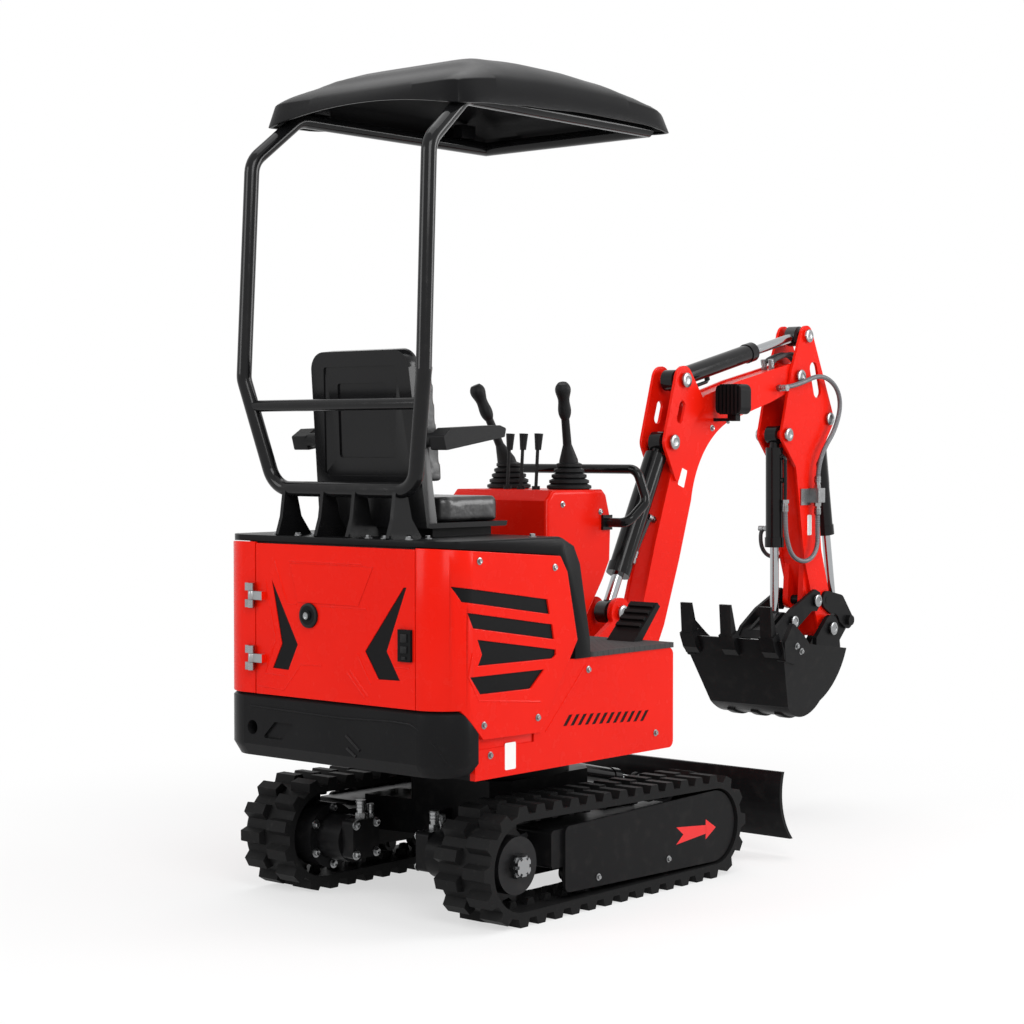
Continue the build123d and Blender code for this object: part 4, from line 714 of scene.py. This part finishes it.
def makeArrow(side, shape):
    clearSelection()
    bpy.ops.mesh.primitive_plane_add(size=1, location=(0, 0, 0))
    arrow = bpy.context.object
    bpy.ops.object.mode_set(mode="EDIT")
    bpy.ops.transform.resize(value=(shape["long"], 2 * shape["shaft"], 1))
    bpy.ops.mesh.select_mode(type="EDGE")
    bpy.ops.mesh.select_all(action="DESELECT")
    bpy.ops.object.mode_set(mode="OBJECT")
    for edge in arrow.data.edges:
        edge.select = all(arrow.data.vertices[k].co.x < 0 for k in edge.vertices)
    bpy.ops.object.mode_set(mode="EDIT")
    bpy.ops.mesh.subdivide(number_cuts=1)
    chooseVertices(arrow, lambda spot: spot.x < 0 and abs(spot.y) < 1e-4)
    bpy.ops.transform.translate(value=(shape["notch"], 0, 0))
    chooseVertices(arrow, lambda spot: spot.x < -shape["long"] / 2 + 0.001)
    bpy.ops.transform.resize(value=(1, shape["flare"], 1))
    bpy.ops.object.mode_set(mode="OBJECT")
    bpy.ops.mesh.primitive_circle_add(vertices=3, radius=shape["head"], fill_type="NGON",
                                      location=(shape["long"] / 2 + shape["headShift"], 0, 0),
                                      rotation=(0, 0, -math.pi / 2))
    whole = joinUp("arrow", [arrow, bpy.context.object])
    applyTransforms()
    applyModifier(whole, "SOLIDIFY", thickness=shape["thick"])
    turn = Matrix.Rotation(math.pi / 2, 4, "X")
    x, z = shape["middle"]
    whole.data.transform(Matrix.Translation((x, side * shape["side"], z)) @ turn)
    pick(whole)
    turnOutward()
    name = "directionArrow" + ("Left" if side > 0 else "Right")
    return settle(whole, name, "undercarriage", arrowRed)


for side in (1, -1):
    makeArrow(side, arrowShape)
print("arrows made")

# Canopy: a moulded shell with a high crown, arched edges and a rolled lip
canopyShape = {"back": -0.598, "front": 0.364, "half": 0.382, "corner": 0.06, "wall": 0.007, "lip": 0.012,
               "crease": 0.02, "shoulder": 0.62, "swell": 2.4, "edgeLift": 0.012, "edgeShare": 0.06, "round": 0.005,
               "crown": [(-0.592, 2.256), (-0.54, 2.272), (-0.48, 2.284), (-0.42, 2.306), (-0.34, 2.322),
                         (-0.2, 2.329), (-0.05, 2.328), (0.1, 2.317), (0.2, 2.299), (0.28, 2.276), (0.352, 2.240)],
               "edge": [(-0.592, 2.226), (-0.4, 2.243), (-0.15, 2.252), (0.12, 2.253), (0.28, 2.244), (0.352, 2.229)],
               "hem": [(-0.592, 2.166), (-0.42, 2.178), (-0.29, 2.187), (-0.04, 2.196), (0.2, 2.195), (0.352, 2.184)],
               "rearArch": 0.042, "frontArch": 0.016, "pads": [(-0.422, 0.315), (0.202, 0.315)],
               "padSize": (0.064, 0.036, 0.042), "padMiddle": 2.236, "padEdge": 0.004}


def along(table, value):
    # the height at a place, from a short table
    for (x0, z0), (x1, z1) in zip(table, table[1:]):
        if value <= x1:
            share = min(max((value - x0) / (x1 - x0), 0), 1)
            return z0 + (z1 - z0) * share * share * (3 - 2 * share)
    return table[-1][1]


def roundedPlan(a, b, halfLong, halfWide, corner):
    # a spot of the square from -1 to 1 moved into a rectangle with round corners
    ring = max(abs(a), abs(b))
    if ring < 1e-6:
        return 0.0, 0.0
    swapped = abs(b) > abs(a)
    main, cross = (b, a) if swapped else (a, b)
    reach, wide = (halfWide, halfLong) if swapped else (halfLong, halfWide)
    straight = wide - corner
    run = abs(cross) / ring * (straight + corner * math.pi / 4)
    if run <= straight:
        u, v = reach, run
    else:
        turn = (run - straight) / corner
        u, v = reach - corner + corner * math.cos(turn), straight + corner * math.sin(turn)
    u, v = math.copysign(u, main) * ring, math.copysign(v, cross) * ring
    return (v, u) if swapped else (u, v)


def makeCanopy(shape):
    middle = (shape["back"] + shape["front"]) / 2
    halfLong = (shape["front"] - shape["back"]) / 2
    clearSelection()
    bpy.ops.mesh.primitive_grid_add(x_subdivisions=44, y_subdivisions=40, size=2, location=(0, 0, 0))
    shell = bpy.context.object
    inset = shape["crease"]
    for vertex in shell.data.vertices:
        a, b = vertex.co.x, vertex.co.y
        x, y = roundedPlan(a, b, halfLong - inset, shape["half"] - inset, shape["corner"] - inset)
        ring = max(abs(a), abs(b))
        rise = 1 - max(1 - (1 - ring) / shape["shoulder"], 0) ** shape["swell"]
        edge = along(shape["edge"], x + middle)
        lift = shape["edgeLift"] * min((1 - ring) / shape["edgeShare"], 1)
        vertex.co = (x + middle, y, edge + (along(shape["crown"], x + middle) - edge) * rise + lift)
    pick(shell)
    applyModifier(shell, "SMOOTH", iterations=4)
    sides = (halfLong - inset, shape["half"] - inset)
    plan = {}
    for grow, share in ((0.5, 0.5), (1.0, 1.0), (1.0 - shape["lip"] / inset, 1.0)):
        bpy.ops.object.mode_set(mode="EDIT")
        bpy.ops.mesh.select_mode(type="EDGE")
        bpy.ops.mesh.select_all(action="SELECT")
        bpy.ops.mesh.region_to_loop()
        bpy.ops.mesh.extrude_edges_move(TRANSFORM_OT_translate={"value": (0, 0, 0)})
        bpy.ops.object.mode_set(mode="OBJECT")
        loop = [vertex for vertex in shell.data.vertices if vertex.select]
        for vertex in loop:
            spot = plan.get(vertex.index - len(loop), None) or (vertex.co.x - middle, vertex.co.y, vertex.co.z)
            x, y, top = spot
            plan[vertex.index] = spot
            outward = Vector([max(abs(value) - side + shape["corner"], 0) * math.copysign(1, value)
                              for value, side in zip((x, y), sides)] + [0])
            outward = outward.normalized() if outward.length > 0 else Vector((math.copysign(1, x), 0, 0))
            across = abs(y) / shape["half"]
            arch = shape["rearArch"] if x < 0 else shape["frontArch"]
            ends = max((abs(x) / halfLong - 0.75) / 0.25, 0)
            hem = along(shape["hem"], x + middle) + arch * max(1 - across * across * 1.25, 0) * min(ends, 1)
            vertex.co = (x + middle + outward.x * inset * grow, y + outward.y * inset * grow, top + (hem - top) * share)
    turnOutward()
    applyModifier(shell, "SOLIDIFY", thickness=shape["wall"], offset=-1)
    applyModifier(shell, "BEVEL", width=shape["round"], segments=3, limit_method="ANGLE", angle_limit=math.radians(28))
    blocks = [shell]
    for x, y in shape["pads"]:
        for side in (1, -1):
            blocks.append(makeBox((x, side * y, shape["padMiddle"]), shape["padSize"], shape["padEdge"]))
    whole = joinUp("canopyShell", blocks)
    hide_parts("canopy")
    return settle(whole, "canopyShell", "turret", blackPlastic)


makeCanopy(canopyShape)
print("canopy made")

# Pressed lines of the red panels, low rounded beads
beadShape = {"radius": 0.0032, "sunk": 0.0016}
doorLines = [[(201, 962), (152, 845)], [(152, 845), (116, 845)], [(18, 845), (-150, 845)], [(142, 962), (-133, 962)],
             [(268, 613), (166, 608), (99, 682), (18, 684)], [(-90, 678), (-155, 615)], [(-78, 672), (-144, 609)],
             [(239, 908), (197, 744), (240, 649), (163, 649)], [(-116, 723), (-166, 647)], [(-255, 697), (-306, 698)]]
panelLines = [[(-603, 738), (-617, 676), (-578, 612), (-330, 588)]]
skirtLines = [[(-117, 670), (-290, 502)]]


def pressBeads(name, lines, body, shape):
    curve = bpy.data.curves.new(name, "CURVE")
    curve.dimensions = "3D"
    curve.bevel_depth = shape["radius"]
    curve.bevel_resolution = 2
    curve.use_fill_caps = True
    for line in lines:
        spline = curve.splines.new("POLY")
        spline.points.add(len(line) - 1)
        for point, spot in zip(spline.points, line):
            point.co = (*mm(*spot), 1)
    bead = bpy.data.objects.new(name, curve)
    bpy.context.collection.objects.link(bead)
    pick(bead)
    bpy.ops.object.convert(target="MESH")
    return settle(bpy.context.object, name, body, redPaint)


sunk = beadShape["sunk"] * 1000
doorFace, panelSide, skirtSide = -705 + sunk, 433 - sunk, 419 - sunk
pressBeads("doorBeads", [[(doorFace, y, z) for y, z in line] for line in doorLines], "door", beadShape)
sideLines = [(line, panelSide) for line in panelLines] + [(line, skirtSide) for line in skirtLines]
pressBeads("panelBeads", [[(x, side * out, z) for x, z in line] for line, out in sideLines for side in (1, -1)],
           "turret", beadShape)
print("panel lines pressed")

# Bare plates where the machine carries its notices
plateFinish = paint("paleFoil", {
    "colour": (0.86, 0.86, 0.84), "shade": (0.78, 0.78, 0.76), "clouds": 30.0, "peel": 700.0, "peelDepth": 0.02,
    "rough": 0.4, "spread": 0.1, "coat": 0.0, "specular": 0.3, "dust": 0.04})
plateShape = {"corner": 0.004, "thick": 0.0006, "rim": 0.0022, "sunk": 0.0002}
plates = {"skirtPlate": {"body": "turret", "middle": (-437, -419, 452), "size": (44, 72), "lean": 0.0},
          "boomPlate": {"body": "boom", "middle": (850, -40, 1172), "size": (34, 58), "lean": 0.33},
          "armPlate": {"body": "arm", "middle": (1578, -51, 1000), "size": (26, 70), "lean": 0.0}}


def makePlate(name, row):
    clearSelection()
    wide, high = mm(*row["size"])
    bpy.ops.mesh.primitive_plane_add(size=1, location=(0, 0, 0))
    plate = bpy.context.object
    bpy.ops.object.mode_set(mode="EDIT")
    bpy.ops.transform.resize(value=(wide, high, 1))
    bpy.ops.mesh.bevel(offset=plateShape["corner"], segments=3, affect="VERTICES")
    bpy.ops.mesh.select_all(action="SELECT")
    bpy.ops.mesh.extrude_region_move(TRANSFORM_OT_translate={"value": (0, 0, plateShape["thick"])})
    insetMove(plateShape["rim"], z=-plateShape["sunk"])
    bpy.ops.object.mode_set(mode="OBJECT")
    turnOutward()
    lean, upright = Matrix.Rotation(row["lean"], 4, "Y"), Matrix.Rotation(math.pi / 2, 4, "X")
    plate.data.transform(Matrix.Translation(mm(*row["middle"])) @ lean @ upright)
    return settle(plate, name, row["body"], plateFinish)


for name, row in plates.items():
    makePlate(name, row)
print("plates placed")

# Hood cover: the solid's own form with the rear corners rounded as the panels are
hoodShape = {"corner": (-0.600, 0.328), "radius": 0.1005, "cuts": 6, "edge": 0.003}


def makeHood(shape):
    hood = bpy.data.objects.new("hoodTop", nodes["hood_cover"].data.copy())
    bpy.context.collection.objects.link(hood)
    pick(hood)
    bpy.ops.object.mode_set(mode="EDIT")
    bpy.ops.mesh.select_mode(type="FACE")
    bpy.ops.mesh.select_all(action="SELECT")
    bpy.ops.mesh.remove_doubles(threshold=0.0001)
    x, y = shape["corner"]
    for side in (1, -1):
        for step in range(shape["cuts"]):
            turn = math.radians(90 * (step + 0.5) / shape["cuts"])
            outward = Vector((-math.cos(turn), side * math.sin(turn), 0))
            spot = Vector((x, side * y, 1.0)) + outward * shape["radius"]
            bpy.ops.mesh.select_all(action="SELECT")
            bpy.ops.mesh.bisect(plane_co=spot, plane_no=outward, use_fill=True, clear_outer=True)
    bpy.ops.mesh.select_all(action="SELECT")
    bpy.ops.mesh.dissolve_limited(angle_limit=math.radians(1))
    bpy.ops.mesh.normals_make_consistent(inside=False)
    bpy.ops.object.mode_set(mode="OBJECT")
    applyModifier(hood, "BEVEL", width=shape["edge"], segments=2, limit_method="ANGLE", angle_limit=roundAngle)
    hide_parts("hood_cover")
    return settle(hood, "hoodTop", "turret", blackPlastic)


makeHood(hoodShape)
print("hood made")

# Slanted black fillings of the skirt's slots, painted shade standing in for the dark inside the vents
slotShape = {"start": (-216, 509), "pitch": 31.4, "drop": 1.8, "count": 12, "wide": 16, "lean": 26, "high": 29,
             "side": 417.6, "thick": 2.0}


def makeSlots(shape):
    clearSelection()
    bpy.ops.mesh.primitive_cube_add(size=1, location=(0, 0, 0))
    bar = bpy.context.object
    bpy.ops.object.mode_set(mode="EDIT")
    bpy.ops.transform.resize(value=mm(shape["wide"], shape["thick"], shape["high"]))
    chooseVertices(bar, lambda spot: spot.z > 0)
    bpy.ops.transform.translate(value=(shape["lean"] / 1000, 0, 0))
    bpy.ops.object.mode_set(mode="OBJECT")
    x, z = shape["start"]
    bars = []
    for index in range(shape["count"]):
        for side in (1, -1):
            spot = mm(x + index * shape["pitch"] + shape["wide"] / 2, side * (shape["side"] - shape["thick"] / 2),
                      z - index * shape["drop"] + shape["high"] / 2)
            bars.append(copyTo(bar, spot, (0, 0, 1)))
    drop(bar)
    # the black bars are painted shade in the vent slots
    return settle(joinUp("slotShadeFillings", bars), "slotShadeFillings", "turret", blackPlastic)


makeSlots(slotShape)

# Strips behind the skirts' seams, and a dark strip over the door that is painted shade: it stands in for the dark gap
# under the hood's rear edge
seamShape = {"middle": (-470, 412, 506), "size": (250, 9, 60), "edge": 0.002}
doorGapShade = {"middle": (-676, 0, 998), "size": (24, 640, 30), "edge": 0.003}
x, y, z = seamShape["middle"]
strips = [makeBox(mm(x, side * y, z), mm(*seamShape["size"]), seamShape["edge"]) for side in (1, -1)]
settle(joinUp("seamStrips", strips), "seamStrips", "turret", redPaint)
# painted shade: a dark strip that fills the gap under the hood's rear edge
gapShadeStrip = makeBox(mm(*doorGapShade["middle"]), mm(*doorGapShade["size"]), doorGapShade["edge"])
settle(gapShadeStrip, "doorGapShade", "turret", softPlastic)
print("slots filled")

# Work light's front: a dark plate with nine bright cups
lampFront = {"middle": (1055, -112, 1425), "plate": (3, 80, 78), "rim": 0.003, "sunk": 0.0008, "pitch": 24,
             "cup": 0.0092, "depth": 0.003, "cupRim": 0.0012, "cupSlope": 0.005, "cupDeep": 0.0018, "proud": 1.6}


def makeLampFront(shape):
    clearSelection()
    x, y, z = shape["middle"]
    bpy.ops.mesh.primitive_cube_add(size=1, location=mm(x, y, z), scale=mm(*shape["plate"]))
    plate = bpy.context.object
    applyTransforms()
    chooseFaces(plate, lambda face: face.normal.x > 0.9)
    insetMove(shape["rim"], x=-shape["sunk"])
    bpy.ops.object.mode_set(mode="OBJECT")
    settle(plate, "lampPlate", "boom", softPlastic)
    clearSelection()
    bpy.ops.mesh.primitive_cylinder_add(vertices=24, radius=shape["cup"], depth=shape["depth"], location=(0, 0, 0))
    cup = bpy.context.object
    chooseFaces(cup, lambda face: face.normal.z > 0.9)
    bpy.ops.mesh.inset(thickness=shape["cupRim"])
    insetMove(shape["cupSlope"], z=-shape["cupDeep"])
    bpy.ops.object.mode_set(mode="OBJECT")
    steps = (-shape["pitch"], 0, shape["pitch"])
    cups = [copyTo(cup, mm(x + shape["proud"], y + across, z + up), (1, 0, 0)) for across in steps for up in steps]
    drop(cup)
    return settle(joinUp("lampCups", cups), "lampCups", "boom", zincSteel)


makeLampFront(lampFront)
print("lamp made")

# Door lock: a wide collar and a bright barrel with its key slot, and the switch plate's two keys
lockShape = {"middle": (-705, 66, 816), "collar": 0.0335, "thick": 0.0062, "rim": 0.003, "rimLift": 0.0015,
             "barrel": 0.0095, "barrelHigh": 0.004, "face": -717, "lip": 0.0016, "slot": 0.004, "slotDeep": 0.0012}
switchShape = {"face": -713, "thick": 5, "edge": 0.0012,
               "keys": [(-293, 776, 22, 22), (-293, 746, 22, 18), (-293, 724, 14, 8)]}


def makeDisc(radius, high, middle, vertices):
    # a disc that faces the rear
    clearSelection()
    bpy.ops.mesh.primitive_cylinder_add(vertices=vertices, radius=radius, depth=high, location=middle,
                                        rotation=(0, -math.pi / 2, 0))
    applyTransforms()
    disc = bpy.context.object
    chooseFaces(disc, lambda face: face.normal.x < -0.9)
    return disc


def makeLock(shape, switch):
    x, y, z = mm(*shape["middle"])
    collar = makeDisc(shape["collar"], shape["thick"], (x - shape["thick"] / 2, y, z), 48)
    insetMove(shape["rim"], x=-shape["rimLift"])
    bpy.ops.object.mode_set(mode="OBJECT")
    keys = [makeBox(mm(switch["face"] - 1, across, up), mm(switch["thick"], wide, high), switch["edge"])
            for across, up, wide, high in switch["keys"]]
    settle(joinUp("lockCollar", [collar] + keys), "lockCollar", "door", softPlastic)
    barrel = makeDisc(shape["barrel"], shape["barrelHigh"], (shape["face"] / 1000 - 0.001, y, z), 32)
    insetMove(shape["lip"], x=shape["slotDeep"])
    bpy.ops.mesh.inset(thickness=shape["slot"])
    bpy.ops.transform.resize(value=(1, 0.5, 2.0), center_override=(0, y, z))
    bpy.ops.transform.translate(value=(shape["slotDeep"], 0, 0))
    bpy.ops.object.mode_set(mode="OBJECT")
    return settle(barrel, "lockBarrel", "door", zincSteel)


makeLock(lockShape, switchShape)
print("lock made")

# Ribs cast on the counterweight
weightBars = {
    "Thin": {"radius": 0.003, "lines": [
        [(-705, 300, 555), (-705, 105, 551), (-705, -60, 549), (-705, -240, 555), (-705, -306, 553),
         (-703.5, -330, 543), (-691, -380, 502), (-672, -404.5, 455)]]},
    "Thick": {"radius": 0.005, "lines": [[(-704, -73, 504), (-704, -124, 467)], [(-704, -76, 470), (-704, -110, 450)]]},
}
for name, row in weightBars.items():
    ribs = pressBeads("weightRibs" + name, row["lines"], "turret", row)
    ribs.data.materials[0] = castBlack
print("weight dressed")

drop(boltMaster, pinMaster, endMaster)

# Studio
studio = {"floor": 0.88, "floorSize": 60, "floorLow": -0.0005, "lift": 0.6, "fade": (1.0, 2.8),
          "middle": (0.4, 0.0, 0.0), "world": 0.4, "aim": (0.2, 0, 1.0),
          "lamps": [("key", (-3.2, -4.6, 4.2), 3.0, 190), ("left", (-5.0, 2.4, 3.0), 2.4, 90),
                    ("top", (0.3, 0.0, 5.2), 4.0, 120), ("front", (3.6, -3.6, 2.6), 2.2, 110)]}


def whiteFactor(finish):
    # the viewer, mirrors and glass see the white background, the rest gets plain light
    path = finish.node("ShaderNodeLightPath", output="Is Camera Ray")
    rays = path.socket.node.outputs
    shine = path.maths("MAXIMUM", Wire(finish, rays["Is Glossy Ray"]), Wire(finish, rays["Is Transmission Ray"]))
    return path.maths("MAXIMUM", path, shine)


def makeStudio(settings):
    scene = bpy.context.scene
    scene.world = bpy.data.worlds.new("studioWorld")
    sky = Finish(scene.world)
    sky.plug(sky.shader.inputs["Color"], (1, 1, 1, 1))
    sky.plug(sky.shader.inputs["Strength"], settings["world"])
    white = sky.node("ShaderNodeBackground", {}, {"Color": (1, 1, 1, 1), "Strength": 1.0})
    both = sky.node("ShaderNodeMixShader", {}, {0: whiteFactor(sky), 1: Wire(sky, sky.shader.outputs[0]), 2: white})
    sky.plug(sky.tree.nodes["World Output"].inputs["Surface"], both)
    clearSelection()
    bpy.ops.mesh.primitive_plane_add(size=settings["floorSize"], location=(0, 0, settings["floorLow"]))
    floor = bpy.context.object
    floor.name = "studioFloor"
    applyTransforms()
    ground = Finish(bpy.data.materials.new("studioFloor"))
    ground.wear(colour=(settings["floor"],) * 3, roughness=0.9, specular=0.1)
    away = ground.node("ShaderNodeVectorMath", {"operation": "DISTANCE"},
                       {0: ground.spot(), 1: settings["middle"]}, "Value")
    low, high = settings["fade"]
    far = ground.node("ShaderNodeMapRange", {"interpolation_type": "SMOOTHSTEP"},
                      {"Value": away, "From Min": low, "From Max": high, "To Min": settings["lift"], "To Max": 1.0})
    glow = ground.node("ShaderNodeEmission", {}, {"Color": (1, 1, 1, 1), "Strength": 1.0})
    lit = ground.node("ShaderNodeMixShader", {}, {0: whiteFactor(ground) * far,
                                                  1: Wire(ground, ground.shader.outputs[0]), 2: glow})
    ground.plug(ground.tree.nodes["Material Output"].inputs["Surface"], lit)
    floor.data.materials.append(ground.material)
    for name, place, size, power in settings["lamps"]:
        lamp = bpy.data.lights.new(name, "AREA")
        lamp.size = size
        lamp.energy = power
        holder = bpy.data.objects.new(name, lamp)
        holder.location = place
        aim = Vector(settings["aim"]) - Vector(place)
        holder.rotation_euler = aim.to_track_quat("-Z", "Y").to_euler()
        bpy.context.collection.objects.link(holder)
    scene.view_settings.view_transform = "Standard"


makeStudio(studio)

# Camera, where the photograph was taken from
view = {"place": (-4.775, -4.151, 1.274), "yaw": 40.66, "pitch": -1.75, "lens": 76.15, "sensor": 36.0}
camera = bpy.data.cameras.new("camera")
camera.lens, camera.sensor_width, camera.sensor_fit = view["lens"], view["sensor"], "HORIZONTAL"
holder = bpy.data.objects.new("camera", camera)
holder.location = view["place"]
holder.rotation_euler = (math.radians(90 + view["pitch"]), 0, math.radians(view["yaw"] - 90))
bpy.context.collection.objects.link(holder)
bpy.context.scene.camera = holder
print("studio and camera ready")
